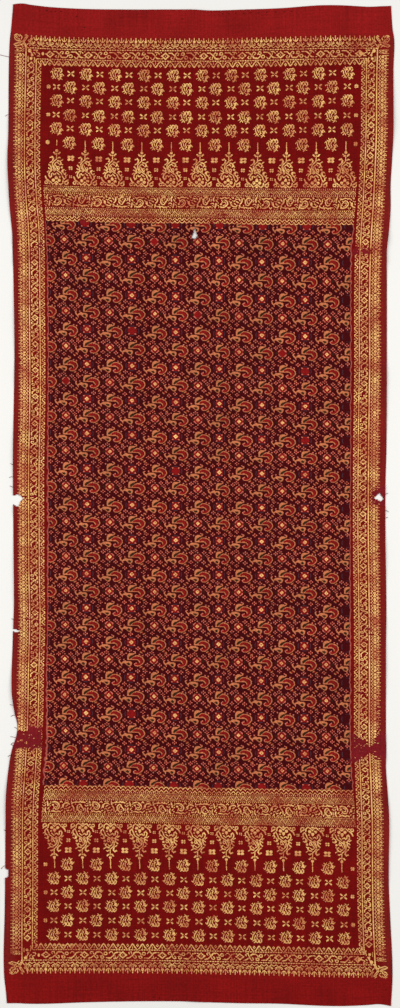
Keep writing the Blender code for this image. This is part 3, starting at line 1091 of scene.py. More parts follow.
def border_motifs():
    """The border's repeats, about a point on its outer line: along it is x, out of it is y."""
    crown = both_sides(
        patch(((8.9, 11.3), (6.4, 15.4), (3.6, 11.0), (2.6, 7.4), (5.4, 8.6))),
        lozenge(6.2, 11.6, 1.1, 1.3, ink=False),
        stroke(((5.1, 23.0), (7.0, 19.0), (10.3, 16.6), (13.6, 19.0), (15.5, 23.0)), 1.6),
        stroke(((10.3, 27.2), (10.3, 17.4)), 1.6),
        stroke(((0.0, 9.0), (5.15, 3.6), (10.3, 7.2)), 1.4),
    ) + (
        stroke(((0.0, 27.4), (0.0, 22.5)), 1.7),
        spot(0.0, 19.3, 2.9, 3.1),
        stroke(((-1.6, 16.0), (-1.6, 9.4)), 1.1),
        stroke(((1.6, 15.0), (1.6, 9.4)), 1.1),
    )
    scroll = (
        lozenge(0, 0, 9.3, 8.0, 2.4),
        spot(-8.0, 0.0, 1.6),
        spot(7.8, 0.0, 1.6),
        spot(0.0, 0.0, 1.0),
        stroke(((8.0, 6.8), (13.6, 6.4), (18.9, 1.6)), 2.3),
        stroke(
            ((14.2, -2.2), (11.8, -4.4), (14.0, -7.0), (18.0, -6.8), (18.5, -3.6), (20.5, -0.2),
             (22.1, 4.6), (25.4, 7.2), (28.6, 5.6), (28.0, 2.6), (26.0, 1.6)),
            1.8,
        ),
        stroke(((22.9, -1.6), (23.9, -4.6), (27.2, -6.2), (30.4, -5.8)), 2.9),
        stroke(((30.4, -6.2), (32.8, -6.6), (36.4, -4.2), (39.0, -0.8)), 1.9),
        ring(37.4, 4.6, 3.0, 2.7, 1.9),
        stroke(((34.6, 3.0), (33.0, 2.0)), 1.6),
        ring(44.4, -3.0, 3.2, 3.0, 2.0),
        stroke(((46.0, 6.2), (54.6, 6.8), (60.2, 2.0), (62.0, -0.6), (64.8, -4.6), (70.4, -5.6)), 2.4),
        stroke(((52.1, -3.8), (54.4, -6.6), (58.0, -7.4), (60.4, -3.0)), 1.8),
        stroke(((61.8, 7.2), (67.4, 7.4), (70.6, 4.2)), 1.8),
        stroke(((65.4, 5.6), (64.2, 1.6)), 1.2),
        spot(74.4, 7.2, 1.4, 1.2),
        stroke(((73.6, -6.0), (77.2, -5.2)), 1.5),
    )
    wave = both_sides(
        stroke(((10.3, -23.8), (8.8, -24.2), (5.2, -28.0), (2.2, -33.0), (0.0, -35.2)), 2.1),
        lozenge(10.3, -32.3, 2.9, 3.5, 1.0),
    ) + (
        stroke(((-2.6, -32.6), (0.0, -35.2), (2.6, -32.6)), 2.5),
        stroke(((0.0, -24.0), (0.0, -29.5)), 1.1),
    )
    # Along the sides the crown has fuller lobes, for its floats run the other way
    side_crown = both_sides(
        spot(5.3, 13.0, 3.7, 3.3),
        spot(5.3, 12.8, 0.9, 0.9, ink=False),
        stroke(((0.0, 8.8), (5.1, 4.0), (10.3, 8.8)), 1.7),
        stroke(((4.4, 22.6), (7.0, 19.4), (10.3, 17.6)), 1.6),
        stroke(((10.3, 26.4), (10.3, 12.6)), 1.5),
    ) + (
        stroke(((0.0, 26.0), (0.0, 16.0)), 1.6),
        spot(0.0, 20.2, 2.7, 2.6),
    )
    # Along the sides the wave is rounder, and stands clear of the line
    side_wave = both_sides(
        stroke(((10.3, -27.2), (7.8, -27.5), (5.4, -29.8), (2.8, -32.4), (0.0, -33.0)), 1.9),
        spot(10.3, -32.6, 1.4, 1.3),
    ) + (
        stroke(((-2.6, -33.0), (2.6, -33.0)), 2.3),
        spot(0.0, -26.4, 1.5, 1.2),
        spot(0.0, -29.6, 0.9, 0.8),
    )
    # The clump outside the corner and the leaves in the scroll's own corner, for the upper right
    corner = (
        patch(((8.6, 12.4), (4.0, 21.0), (-1.8, 27.2), (-4.8, 25.4), (-1.6, 19.4), (4.6, 11.2))),
        stroke(((6.0, 13.4), (-2.4, 25.4)), 0.7, False),
        stroke(((-2.2, 20.6), (0.6, 22.8)), 0.6, False),
        stroke(((0.6, 17.0), (3.4, 19.2)), 0.6, False),
        stroke(((25.6, 6.6), (19.0, 9.8), (11.0, 11.8)), 1.8),
        stroke(((26.0, 5.4), (21.3, 2.8), (14.0, 5.2), (6.0, 8.0)), 1.9),
        stroke(((22.0, 6.4), (12.0, 9.4)), 0.9),
        stroke(((25.6, 26.0), (21.6, 28.6), (17.2, 27.4), (14.6, 23.6)), 1.8),
        stroke(((22.6, 24.6), (25.4, 20.8), (23.4, 16.6), (20.4, 14.4)), 1.8),
        stroke(((22.4, 27.0), (19.4, 23.0), (21.0, 20.0)), 1.6),
        stroke(((18.1, 19.2), (14.6, 18.6), (16.0, 15.4), (10.3, 12.9)), 1.8),
        stroke(((13.4, 27.1), (8.7, 22.4), (11.0, 17.7)), 2.0),
        stroke(((16.4, 13.0), (20.4, 15.8)), 1.8),
        stroke(((2.4, 26.3), (-0.8, 28.7)), 1.8),
        stroke(((7.0, 9.6), (2.6, 5.2), (0.8, 0.0)), 2.2),
        stroke(((3.8, 10.4), (0.2, 5.8), (-1.8, 1.4)), 2.0),
        lozenge(-6.3, 15.3, 3.2, 3.6, 1.4),
        stroke(((-5.6, 10.4), (-2.0, 6.6)), 1.8),
        stroke(((10.6, 5.6), (7.0, 2.0)), 1.8),
    )
    turn = (
        spot(-7.5, -5.5, 3.6, 3.8),
        stroke(((-10.2, -8.4), (-15.0, -16.0)), 2.4),
        stroke(((-10.9, -14.3), (-12.6, -17.0)), 2.0),
        stroke(
            ((-16.4, -4.1), (-24.6, -3.4), (-21.8, -8.2), (-28.7, -10.9), (-29.3, -15.7), (-23.9, -16.4)),
            1.9,
        ),
        stroke(((-16.6, -9.0), (-19.8, -12.4)), 2.0),
        spot(-36.2, -10.9, 3.0, 3.4),
        spot(-10.9, -21.8, 3.0, 3.2),
        stroke(((-17.7, -19.8), (-19.8, -27.3), (-18.4, -30.0)), 2.0),
        stroke(((-4.6, -18.0), (-4.6, -26.0)), 1.5),
    )
    return crown, side_crown, scroll, wave, side_wave, corner, turn


def beads(step, _):
    """A line of gold beads, as the borders' cross lines are."""
    return step % 10 < 7


def dots(step, _):
    """A line of small gold dots, as beside the hatched bands."""
    return step % 8 < 3


def chart_ends():
    """The bands of gold across both ends."""
    chart = new_chart()
    crown, _, scroll, wave, _, corner, turn = border_motifs()
    numbers = np.arange(len(END_LOZENGES))
    quarters = np.arange(-1, 4 * len(END_LOZENGES) - 2) / 4
    places = smooth_between(numbers, END_LOZENGES, quarters)
    places = places + END_SCROLL * (np.minimum(quarters, 0) + np.maximum(quarters - numbers[-1], 0))
    for line, sign in ((UPPER_LINE, 1), (LOWER_LINE, -1)):
        for across in (places[0] - END_PITCH, *places):
            stamp(chart, across, line, crown, 0, (1, sign))
        for across in (*FIRST_WAVES, *places[5:]):
            stamp(chart, across, line, wave, 0, (1, sign))
        for across in END_LOZENGES[:-1]:
            stamp(chart, across, line - sign * SCROLL_IN, scroll, 0, (1, sign))
        stamp(chart, END_LOZENGES[-1], line - sign * SCROLL_IN, scroll[:4], 0, (1, sign))
        # Gold is trimmed where the side borders take over: at the lines, at the waves and at the crowns
        for near, far, reach in (
            (line - sign, line - sign * ENDS_IN, 1.0),
            (line - sign * INNER_LINE_IN, line - sign * ENDS_IN, INNER_LINE_IN),
            (line + sign, line + sign * ENDS_OUT, CORNER_OUT),
        ):
            low, high = sorted((near, far))
            fill(chart, -PAST_EDGE, LEFT_LINE + reach, low, high, False)
            fill(chart, RIGHT_LINE - reach, PAST_EDGE, low, high, False)
        for inward in (0.0, INNER_LINE_IN):
            left, right, middle = LEFT_LINE + inward, RIGHT_LINE - inward, line - sign * inward
            fill(chart, left, right, middle - END_LINE_CLEAR, middle + END_LINE_CLEAR, False)
            fill(chart, left, right, middle - END_LINE, middle + END_LINE, beads)
        for side, edge in ((-1, LEFT_LINE), (1, RIGHT_LINE)):
            stamp(chart, edge, line, corner, 0, (side, sign))
            stamp(chart, edge, line, turn, 0, (side, sign))
    return chart


def chart_side(side):
    """The gold border along one long edge: -1 for the left, 1 for the right."""
    chart = new_chart()
    _, crown, scroll, _, wave, _, _ = border_motifs()
    line, turns, key = (LEFT_LINE, 1, "left") if side < 0 else (RIGHT_LINE, 3, "right")

    def lozenge_at(number):
        return float(station(SIDE_LOZENGES, "number", key, [number])[0])

    def squeeze(number):
        return (lozenge_at(number - 0.25) - lozenge_at(number + 0.25)) * 2 / END_SCROLL

    first, last = SIDE_LOZENGES[0].number, SIDE_LOZENGES[-1].number
    for quarter in range(int(first * 4), int(last * 4) + 1):
        number = quarter / 4
        stamp(chart, line, lozenge_at(number), crown, turns, (squeeze(number), SIDE_CROWN_REACH))
        stamp(chart, line, lozenge_at(number), wave, turns, (squeeze(number), SIDE_WAVE_REACH))
    for number in range(int(last) + 1):
        bottom = lozenge_at(number)
        above = lozenge_at(number - 1) if number else bottom + END_SCROLL * 0.75
        stamp(chart, line - side * SCROLL_IN, bottom, scroll, 1, ((above - bottom) / END_SCROLL, 1.0))
    # Gold is trimmed where the ends' own bands take over
    fill(chart, -PAST_EDGE, PAST_EDGE, UPPER_LINE, HALF_LENGTH, False)
    fill(chart, -PAST_EDGE, PAST_EDGE, -HALF_LENGTH, LOWER_LINE, False)
    inner = line - side * INNER_LINE_IN
    low, high = sorted((line - side, line - side * SIDES_IN))
    fill(chart, low, high, UPPER_LINE - SIDES_SHORT, UPPER_LINE, False)
    fill(chart, low, high, LOWER_LINE, LOWER_LINE + SIDES_SHORT, False)
    for middle, half, end in zip((line, inner), SIDE_LINES, (0, INNER_LINE_IN)):
        low, high = LOWER_LINE + end, UPPER_LINE - end
        fill(chart, middle - half - SIDE_LINE_CLEAR, middle + half + SIDE_LINE_CLEAR, low, high, False)
        fill(chart, middle - half, middle + half, low, high)
    return chart


def cross_scroll():
    """The scroll between two hatched bands: leaves and paired spirals."""
    garland = (
        stroke(
            ((-47.0, 9.4), (-43.0, 8.8), (-40.0, 10.4), (-36.4, 11.2), (-33.4, 9.2), (-30.2, 10.2),
             (-28.0, 11.2)),
            2.3,
        ),
        stroke(((-26.4, 8.4), (-24.0, 7.4)), 1.8),
        stroke(((2.6, -9.8), (8.8, -9.8), (13.1, -10.8), (18.6, -9.8), (23.4, -9.2)), 2.4),
        *[spot(x, -12.0, 1.5, 1.3) for x in (4.9, 13.1, 18.6)],
    )
    left_spiral = (
        stroke(((-41.0, 3.6), (-37.8, 5.4), (-34.0, 4.6), (-31.6, 1.4), (-31.0, -2.4)), 2.2),
        stroke(((-31.2, -2.4), (-33.4, -6.4), (-37.6, -9.4), (-42.6, -10.6), (-46.6, -9.6)), 2.7),
        spot(-45.4, -4.0, 2.2, 1.8),
        stroke(((-30.6, -9.6), (-28.4, -12.2), (-25.8, -9.2)), 1.8),
    )
    leaf = (
        spot(-23.6, -1.6, 2.4, 4.0),
        stroke(((-23.2, -4.4), (-20.4, -7.2), (-16.6, -8.4), (-12.4, -8.0), (-10.8, -5.6)), 2.4),
        stroke(((-17.0, -1.0), (-13.8, -3.6)), 2.2),
        stroke(((-12.2, 2.8), (-8.4, 0.6)), 2.2),
        spot(-19.2, 10.0, 1.6),
        spot(-25.2, 8.2, 1.2),
        stroke(((-14.0, 8.2), (-10.4, 7.6)), 2.2),
        stroke(((-6.8, 8.6), (-4.0, 4.8)), 2.5),
        stroke(((0.2, 8.6), (0.2, 3.8), (-1.6, 0.2), (-4.0, -2.2)), 2.4),
        spot(3.6, 10.2, 1.5, 2.1),
        spot(-5.4, -5.8, 1.7),
        stroke(((-6.4, -9.6), (-6.4, -12.0)), 1.8),
        stroke(((-4.6, -8.6), (2.6, -9.8)), 1.8),
        spot(3.3, -5.8, 1.3),
    )
    right_spiral = (
        stroke(((17.0, 9.4), (13.4, 10.8), (9.8, 8.0), (7.2, 4.0), (6.8, -0.4), (8.8, -3.8)), 2.6),
        stroke(((8.8, -3.8), (12.2, -5.8), (14.8, -4.6)), 1.8),
        stroke(((20.6, 7.6), (21.6, 5.6), (19.0, 2.6), (16.4, -0.8), (14.2, -4.4)), 2.4),
        spot(15.4, 5.6, 1.0),
        stroke(((23.6, -3.2), (26.4, -1.6), (29.0, -2.0), (30.2, -4.2)), 1.8),
        stroke(((31.8, 11.8), (29.2, 7.6), (30.2, 2.2)), 2.7),
        stroke(((35.0, 5.2), (37.2, 2.4)), 2.2),
        stroke(((35.0, -2.4), (34.4, -6.8), (32.8, -11.2)), 2.7),
    )
    # Thin tendrils that follow the leaves and close the gaps between them
    tendrils = (
        stroke(((-39.5, 0.4), (-36.4, 1.4), (-34.8, -1.4), (-37.0, -5.0), (-41.0, -6.6)), 1.3),
        stroke(((-44.4, 5.6), (-42.0, 1.6), (-43.6, -1.2)), 1.3),
        stroke(((-22.0, 11.9), (-18.4, 12.9)), 1.3),
        stroke(((-12.2, 12.6), (-8.4, 11.8)), 1.3),
        stroke(((-4.4, 12.6), (-1.2, 11.8)), 1.3),
        stroke(((-20.8, 5.0), (-17.0, 3.0), (-14.6, 5.4)), 1.3),
        stroke(((-27.8, 4.4), (-26.6, 1.6)), 1.3),
        stroke(((-20.4, -11.8), (-16.2, -12.6), (-12.4, -11.6)), 1.3),
        stroke(((7.8, 12.8), (13.0, 13.3), (18.0, 12.6)), 1.3),
        stroke(((22.4, 11.8), (26.4, 11.0)), 1.3),
        stroke(((11.0, 4.4), (11.0, 0.8), (13.2, -0.8)), 1.3),
        stroke(((23.6, 2.4), (26.0, 5.2), (24.8, 8.6)), 1.3),
        stroke(((26.6, -6.6), (30.4, -8.4)), 1.3),
        stroke(((38.0, -5.2), (41.2, -7.6), (40.2, -11.4)), 1.3),
        stroke(((36.0, 11.6), (40.6, 11.2)), 1.3),
        spot(26.4, -12.0, 1.2),
        spot(38.8, 7.6, 1.4),
        spot(39.6, -1.2, 1.2),
        spot(5.8, 6.8, 1.1),
    )
    return garland + left_spiral + leaf + right_spiral + tendrils


def hatch(step, row):
    """The brick pattern of short dashes that fills the hatched bands."""
    return (step + (row % 3) * 2) % 7 < 2


# One set of cross bands: the side of the cloth, the hatched band by the triangles with its two dotted
# rows, the scroll's middle, the second hatched band with its dotted rows, and the two chevron lines
CrossBands = namedtuple("CrossBands", "sign outer outer_dots scroll inner inner_dots chevrons")
CROSS_BANDS = (
    CrossBands(1, (662.4, 678.8), (677.6, 664.5), 648.0, (615.4, 633.4), (630.6, 617.6), (613.0, 607.7)),
    CrossBands(
        -1, (-684.0, -663.6), (-682.4, -666.0), -650.0, (-636.4, -617.6), (-634.8, -619.2), (-616.2, -610.0),
    ),
)
CROSS_SCROLLS = (-358.0, -267.0, -181.0, -91.0, 0.0, 91.0, 181.0, 264.0, 351.0)
BAND_LEFT = -335.0
BAND_RIGHT = 336.0
HATCH_PEAKS = 13.7
CHEVRON_PITCH = 10.4
# Between these, along the cloth, all that reaches past the bands' own edges is trimmed
BANDS_REACH = (600, 700)


def along_band(pitch):
    """Where the middles of repeats lie that fill a cross band from edge to edge."""
    return [BAND_LEFT + pitch * (n + 0.5) for n in range(math.ceil((BAND_RIGHT - BAND_LEFT) / pitch))]


def chart_cross_bands():
    """Both sets of bands between the field and the rows of triangles."""
    chart = new_chart()
    for bands in CROSS_BANDS:
        for (low, high), dotted in ((bands.outer, bands.outer_dots), (bands.inner, bands.inner_dots)):
            fill(chart, BAND_LEFT, BAND_RIGHT, low, high, hatch)
            for row in dotted:
                fill(chart, BAND_LEFT, BAND_RIGHT, row - 1.6, row + 1.6, False)
                fill(chart, BAND_LEFT, BAND_RIGHT, row - 1.0, row + 1.2, dots)
            reach = (high - low) / 2 - 4.4
            peak = both_sides(stroke(((HATCH_PEAKS / 2, -reach), (0, reach)), 3.6, False))
            line = both_sides(stroke(((HATCH_PEAKS / 2, -reach), (0, reach)), 1.4))
            eyes = (lozenge(0, -reach + 0.4, 2.2, 1.9, ink=False), spot(0, -reach, 0.8, 0.8))
            for across in along_band(HATCH_PEAKS):
                stamp(chart, across, (low + high) / 2, peak + line + eyes)
        for across in CROSS_SCROLLS:
            stamp(chart, across, bands.scroll, cross_scroll(), 0, (1, bands.sign))
        vees = (
            both_sides(stroke(((4.3, 0.2), (0, -4.4)), 1.5)),
            both_sides(stroke(((5.2, 0.2), (3.0, -3.4), (0, -4.6)), 1.5)),
        )
        for top, vee in zip(bands.chevrons, vees):
            for across in along_band(CHEVRON_PITCH):
                stamp(chart, across, top, vee, 0, (1, bands.sign))
        low, high = sorted(bands.sign * reach for reach in BANDS_REACH)
        fill(chart, -PAST_EDGE, BAND_LEFT, low, high, False)
        fill(chart, BAND_RIGHT, PAST_EDGE, low, high, False)
    return chart


def triangle_motif():
    """A tall bamboo-shoot triangle, from the middle of its foot, pointing up."""
    tip = (
        stroke(((-0.9, 95.6), (-0.2, 77.0)), 1.7),
        spot(-0.2, 73.3, 3.0, 3.0),
        *both_sides(stroke(((-6.6, 69.6), (-3.4, 66.4)), 3.0)),
        stroke(((0.0, 68.0), (0.0, 57.5)), 1.9),
        stroke(((-13.4, 58.6), (-9.4, 60.4), (-6.6, 57.2), (-8.0, 52.4)), 2.8),
        stroke(((2.4, 57.4), (5.4, 59.6), (7.8, 58.4)), 2.2),
    )
    curls = (
        stroke(((0.0, 55.6), (-5.6, 50.6), (-8.5, 46.3), (-8.0, 40.0), (-5.4, 35.4)), 2.1),
        stroke(
            ((1.6, 49.4), (-1.8, 47.6), (-4.8, 44.6), (-5.2, 40.0), (-2.0, 34.4), (4.5, 29.8), (10.2, 26.0)),
            1.9,
        ),
        stroke(((-2.0, 43.2), (0.8, 37.8), (5.8, 32.2)), 1.7),
        ring(4.1, 36.9, 2.5, 3.0, 1.7),
        stroke(((2.3, 52.2), (7.3, 51.4), (10.4, 47.2), (7.4, 43.6)), 2.5),
        stroke(((1.8, 48.6), (4.6, 46.0)), 1.8),
        stroke(((10.2, 52.4), (13.4, 54.4)), 1.9),
        stroke(((9.8, 45.4), (13.2, 43.8)), 1.8),
        spot(11.8, 38.2, 2.4),
        stroke(((-9.6, 50.4), (-13.6, 47.6)), 2.2),
        stroke(((-15.8, 43.6), (-11.6, 39.8), (-10.6, 35.6)), 2.6),
        stroke(((-16.6, 36.2), (-11.2, 33.2)), 2.3),
        stroke(((-19.4, 27.4), (-15.6, 30.4)), 1.9),
        stroke(
            ((-9.2, 32.4), (-14.6, 27.4), (-16.4, 21.4), (-13.6, 16.6), (-10.6, 18.8), (-10.2, 24.2)), 2.5
        ),
        ring(-4.2, 31.6, 1.9, 1.7, 1.3),
        stroke(((-7.8, 25.6), (-5.2, 22.6), (-1.4, 24.2)), 2.3),
        stroke(((0.8, 27.0), (6.0, 22.4)), 2.0),
        spot(7.3, 17.5, 1.9),
        patch(((10.2, 28.6), (13.0, 34.6), (16.4, 34.2), (15.2, 28.4))),
        stroke(((15.8, 33.8), (19.8, 31.4)), 1.7),
        stroke(((10.4, 25.6), (13.2, 18.4), (16.4, 12.6), (20.4, 16.8), (19.2, 22.4), (13.8, 27.4)), 2.2),
        stroke(((18.6, 24.6), (20.4, 26.6)), 1.6),
        stroke(((20.6, 20.6), (23.2, 22.2)), 1.6),
    )
    foot = (
        patch(((-0.4, 21.2), (3.0, 16.4), (2.2, 12.6), (-3.0, 12.6), (-3.8, 16.4))),
        spot(-6.6, 10.7, 3.3),
        spot(5.9, 10.7, 3.3),
        stroke(
            ((-13.0, 7.4), (-8.6, 2.0), (-4.2, 3.8), (0.0, 8.0), (4.4, 3.8), (8.8, 1.4), (13.2, 4.6),
             (14.0, 10.4)),
            2.4,
        ),
        spot(-0.4, 2.0, 2.8, 1.8),
        stroke(((-23.4, 18.4), (-21.0, 12.6), (-16.2, 8.8)), 2.8),
        ring(-22.2, 5.8, 2.9, 3.0, 2.0),
        spot(-15.4, 3.6, 1.8),
        stroke(((17.2, 6.6), (21.6, 9.4), (24.6, 11.6)), 2.7),
        stroke(((24.4, 8.4), (24.6, 4.4), (21.0, 1.8), (17.4, 3.6)), 2.2),
    )
    return tip + curls + foot


def flower_of(across, along, petal):
    """A flower of four petals, set crosswise with a dark gap between them."""
    return tuple(spot(sx * across, sy * along, petal, petal * 0.8) for sx in (-1, 1) for sy in (-1, 1))


UPPER_TRIANGLES = (
    -306.3, -245.6, -186.7, -124.5, -61.6, 0.0, 61.5, 122.9, 184.4, 247.9, 311.1,
)
LOWER_TRIANGLES = (
    -306.0, -246.4, -187.1, -125.3, -62.4, -1.6, 59.1, 119.8, 180.5, 242.2, 304.6,
)
UPPER_FOOT = 680.3
LOWER_FOOT = -684.0
# The flowers between two triangles: height over the foot, half spacing across and along, petal size
TRIANGLE_FLOWERS = ((58.0, 3.7, 2.9, 3.4), (37.0, 2.3, 1.9, 2.0), (18.6, 1.8, 1.6, 1.3))
# The first stem at the upper left is worn short: from and to across, from and to over the foot
WORN_STEM = (-310.0, -302.0, 76.0, 84.0)


def chart_triangles():
    """The rows of triangles at both ends of the field, with the flowers between them."""
    chart = new_chart()
    triangle = triangle_motif()
    for foot, places, turns, sign in (
        (UPPER_FOOT, UPPER_TRIANGLES, 0, 1),
        (LOWER_FOOT, LOWER_TRIANGLES, 2, -1),
    ):
        for across in places:
            stamp(chart, across, foot, triangle, turns)
        for a, b in zip(places, places[1:]):
            for height, *flower in TRIANGLE_FLOWERS:
                stamp(chart, (a + b) / 2, foot + sign * height, flower_of(*flower))
    left, right, low, high = WORN_STEM
    fill(chart, left, right, UPPER_FOOT + low, UPPER_FOOT + high, False)
    return chart


def roundel_motif():
    """A whorl of curling leaves that opens to the right."""
    return (
        stroke(((-15.4, 4.7), (-14.5, 0.3), (-13.6, -3.3), (-11.0, -6.8), (-7.5, -11.0)), 2.3),
        stroke(((-19.6, 2.4), (-16.9, 5.0), (-15.4, 4.4)), 1.9),
        stroke(((-14.0, 8.6), (-11.4, 6.6), (-10.0, 3.6), (-9.3, 0.6), (-6.8, -4.0)), 2.0),
        spot(-7.0, 7.2, 2.7, 3.0),
        stroke(((-10.4, 11.8), (-7.6, 9.8)), 1.8),
        stroke(((-6.0, 9.4), (-3.1, 11.2), (0.2, 10.4)), 2.3),
        stroke(
            ((0.6, 9.0), (-0.4, 5.5), (-3.3, 2.6), (-4.0, -0.4), (-2.4, -3.8), (-0.9, -6.0), (-4.6, -7.8)),
            2.0,
        ),
        stroke(((0.2, 9.2), (4.4, 11.6), (7.6, 9.0), (8.2, 5.4), (4.8, 2.4)), 2.5),
        stroke(((2.0, 9.0), (3.2, 5.6)), 2.2),
        spot(2.2, -1.6, 1.2),
        spot(6.4, -4.2, 3.3, 3.4),
        stroke(((8.6, -0.6), (5.6, -5.0), (3.8, -9.0)), 2.4),
        stroke(((8.8, -0.6), (11.4, -2.8), (12.8, -4.8)), 1.7),
        stroke(((6.0, -9.6), (2.2, -12.9), (0.2, -14.0)), 2.0),
        stroke(((-2.4, -10.2), (1.2, -10.8)), 1.6),
        stroke(((-18.0, -7.6), (-15.0, -5.8)), 1.7),
        stroke(((-14.0, -11.0), (-11.6, -9.0)), 1.7),
        stroke(((7.0, -11.4), (8.6, -12.6)), 1.5),
    )


# A panel of roundels: its rows, whether its first row is full, the pitch, where the roundels and the
# petals start in a full row and in a short one, and where the short rows' tiny flowers are
Panel = namedtuple("Panel", "sign rows full_first pitch full_row short_row tiny")
PANELS = (
    Panel(
        1, (919.8, 890.7, 861.4, 830.5, 801.4, 771.3), True, 62.1,
        (-305.5, -278.0), (-277.1, -308.1), (-326.5, 331.0),
    ),
    Panel(
        -1, (-772.3, -801.9, -831.6, -860.9, -891.5, -921.9), False, 61.6,
        (-304.8, -276.0), (-275.6, -306.0), (-325.0, 328.0),
    ),
)
FULL_ROW = 11
ROUNDEL_WIDTH = 0.86


def chart_roundels():
    """The roundels, crossed petals and tiny flowers of both end panels."""
    chart = new_chart()
    roundel = roundel_motif()
    petals = (
        *[stroke(((sx * 3.0 - 1.2, sy * 2.3), (sx * 6.0 - 1.2, sy * 4.6)), 2.9)
          for sx in (-1, 1) for sy in (-1, 1)],
        spot(-1.2, 0, 0.8, 0.8),
    )
    tiny = (
        spot(0, 0, 4.4, 4.2),
        *[spot(x, y, 0.9, 0.8, False) for x, y in ((0, 3.2), (0, -3.2), (3.4, 0), (-3.4, 0), (0, 0))],
    )
    for panel in PANELS:
        by_triangles = min(panel.rows, key=abs)
        for number, along in enumerate(panel.rows):
            full = (number % 2 == 0) == panel.full_first
            first_roundel, first_petals = panel.full_row if full else panel.short_row
            for n in range(FULL_ROW if full else FULL_ROW - 1):
                across = first_roundel + panel.pitch * n
                stamp(chart, across, along, roundel, 0, (ROUNDEL_WIDTH, panel.sign))
            if along != by_triangles:
                for n in range(FULL_ROW - 1 if full else FULL_ROW):
                    stamp(chart, first_petals + panel.pitch * n, along, petals)
            if not full:
                for across in panel.tiny:
                    stamp(chart, across, along, tiny)
    return chart


def chart_field_inlays():
    """Small gold diamonds inlaid in the stars of the dyed field, some of them now lost."""
    chart = new_chart()
    lost = np.random.default_rng(SEED)
    inlays = (
        (lozenge(0, 0, 4.5, 4.3), spot(0, 0, 0.9, 0.8, False)),
        (lozenge(0, 0, 5.4, 4.8), spot(0, 0, 1.0, 0.9, False)),
    )
    for row in range(32):
        along = FIRST_BIRD_ROW - row * REPEAT_HEIGHT / 2 + STAR_RISE
        for column in range(-2, 7):
            place = (column + (0.5 if row % 2 else 0.0)) * REPEAT_WIDTH + STAR_ACROSS
            across = float(smooth_between(EVEN_COLUMNS, BIRD_COLUMNS, [place])[0])
            across += min(place - EVEN_COLUMNS[0], 0) + max(place - EVEN_COLUMNS[-1], 0)
            kept = lost.random() > INLAYS_LOST
            if kept and INLAYS_LEFT < across < INLAYS_RIGHT and abs(along) < INLAYS_END:
                stamp(chart, across, along, inlays[row % 2])
    return chart


# Loose threads of the worn long edges: the edge, where along it, and how far the free end lies out
# from the edge and up along it. The last but one on the left is a torn scrap.
LooseThread = namedtuple("LooseThread", "side along out up")
LOOSE_THREADS = (
    LooseThread(-1, 952, 22, 5),
    LooseThread(-1, 828, 7, -3),
    LooseThread(-1, 79, 6, 3),
    LooseThread(-1, 54, 8, -2),
    LooseThread(-1, 32, 7, 3),
    LooseThread(-1, -254, 5, 2),
    LooseThread(-1, -438, 8, 2),
    LooseThread(-1, -458, 9, -3),
    LooseThread(-1, -486, 6, 3),
    LooseThread(-1, -505, 12, 2),
    LooseThread(-1, -516, 7, -4),
    LooseThread(-1, -522, 5, 2),
    LooseThread(-1, -543, 6, -3),
    LooseThread(-1, -776, 9, -7),
    LooseThread(-1, -702, 4, 2),
    LooseThread(1, 32, 6, 3),
    LooseThread(1, -4, 7, -3),
    LooseThread(1, -21, 6, 2),
)
# Dark stitches that are left in the two hems, and a few strays in the plain ends: across and along
HEM_STITCHES = (
    (-331, 1057.6), (-322, 1055.8), (-313, 1056.6), (-300, 1057.4), (-267, 1048.0), (-250, 1023.6),
    (45, 1058.0), (58, 1057.2), (73, 1058.2), (90, 1057.4), (104, 1058.0), (121, 1057.0),
    (139, 1058.2), (158, 1057.6), (176, 1058.0), (192, 1057.2), (-171, 1046.4), (-41, 1044.2),
    (398, -1031.6), (-96, -1057.0), (-84, -1058.2),
)
# Half a stitch, how far it slants, how it bows over the cloth, and its width beside a loose thread's
STITCH_HALF = 1.7
STITCH_SLANT = 0.2
STITCH_BOW = (0.1, 0.35, 0.1)
STITCH_WIDTH = 1.6


def strands(runs, half):
    """Points and faces of four-sided strands, given half their thickness, along runs of points."""
    points, faces = [], []
    for run in runs:
        ahead = np.gradient(run, axis=0)
        aside = np.stack([-ahead[:, 1], ahead[:, 0], np.zeros(len(run))], axis=-1)
        aside *= half / np.linalg.norm(aside, axis=1, keepdims=True)
        above = np.array([0.0, 0.0, half])
        first = len(points)
        for place, out in zip(run, aside):
            points += [place - out, place + above, place + out, place - above]
        for n in range(first, len(points) - 4, 4):
            faces += [(n + k, n + 4 + k, n + 4 + (k + 1) % 4, n + (k + 1) % 4) for k in range(4)]
        last = len(points) - 4
        faces += [(first, first + 1, first + 2, first + 3), (last + 3, last + 2, last + 1, last)]
    points, faces = np.array(points), np.array(faces)
    # Each face has a square of its own in the map
    squares = math.ceil(math.sqrt(len(faces)))
    number = np.arange(len(faces))
    corner = np.array([(0.1, 0.1), (0.9, 0.1), (0.9, 0.9), (0.1, 0.9)])
    flat = (np.stack([number % squares, number // squares], axis=-1)[:, None] + corner) / squares
    woven = points[:, :2] / MM
    return points, faces, {"weave": woven[faces.ravel()], "OFBake": flat.reshape(-1, 2)}


def strand_material(name, dull, clean):
    """Silk thread out of the weave: a soft gloss, and colour that changes along each strand."""
    material, tree, shader = new_material(name, 0.7, 0.1)
    noise = streaks(tree, map_place(tree, "weave"), (0.5, 0.5, 0), 2.0)
    tree.links.new(mix(tree, shade(tree, noise, 0.3, 0.7), dull, clean), shader.inputs["Base Color"])
    return material


class LoomOperator:
    """What every step that makes a piece of the cloth shares."""

    bl_options = {"REGISTER", "UNDO"}

    def execute(self, context):
        self.make(context.scene)
        return {"FINISHED"}


def gold_thread(scene):
    """The one gold material, made when the first piece asks for it."""
    return bpy.data.materials.get(GOLD_THREAD) or gold_material(scene.cloth_gold)


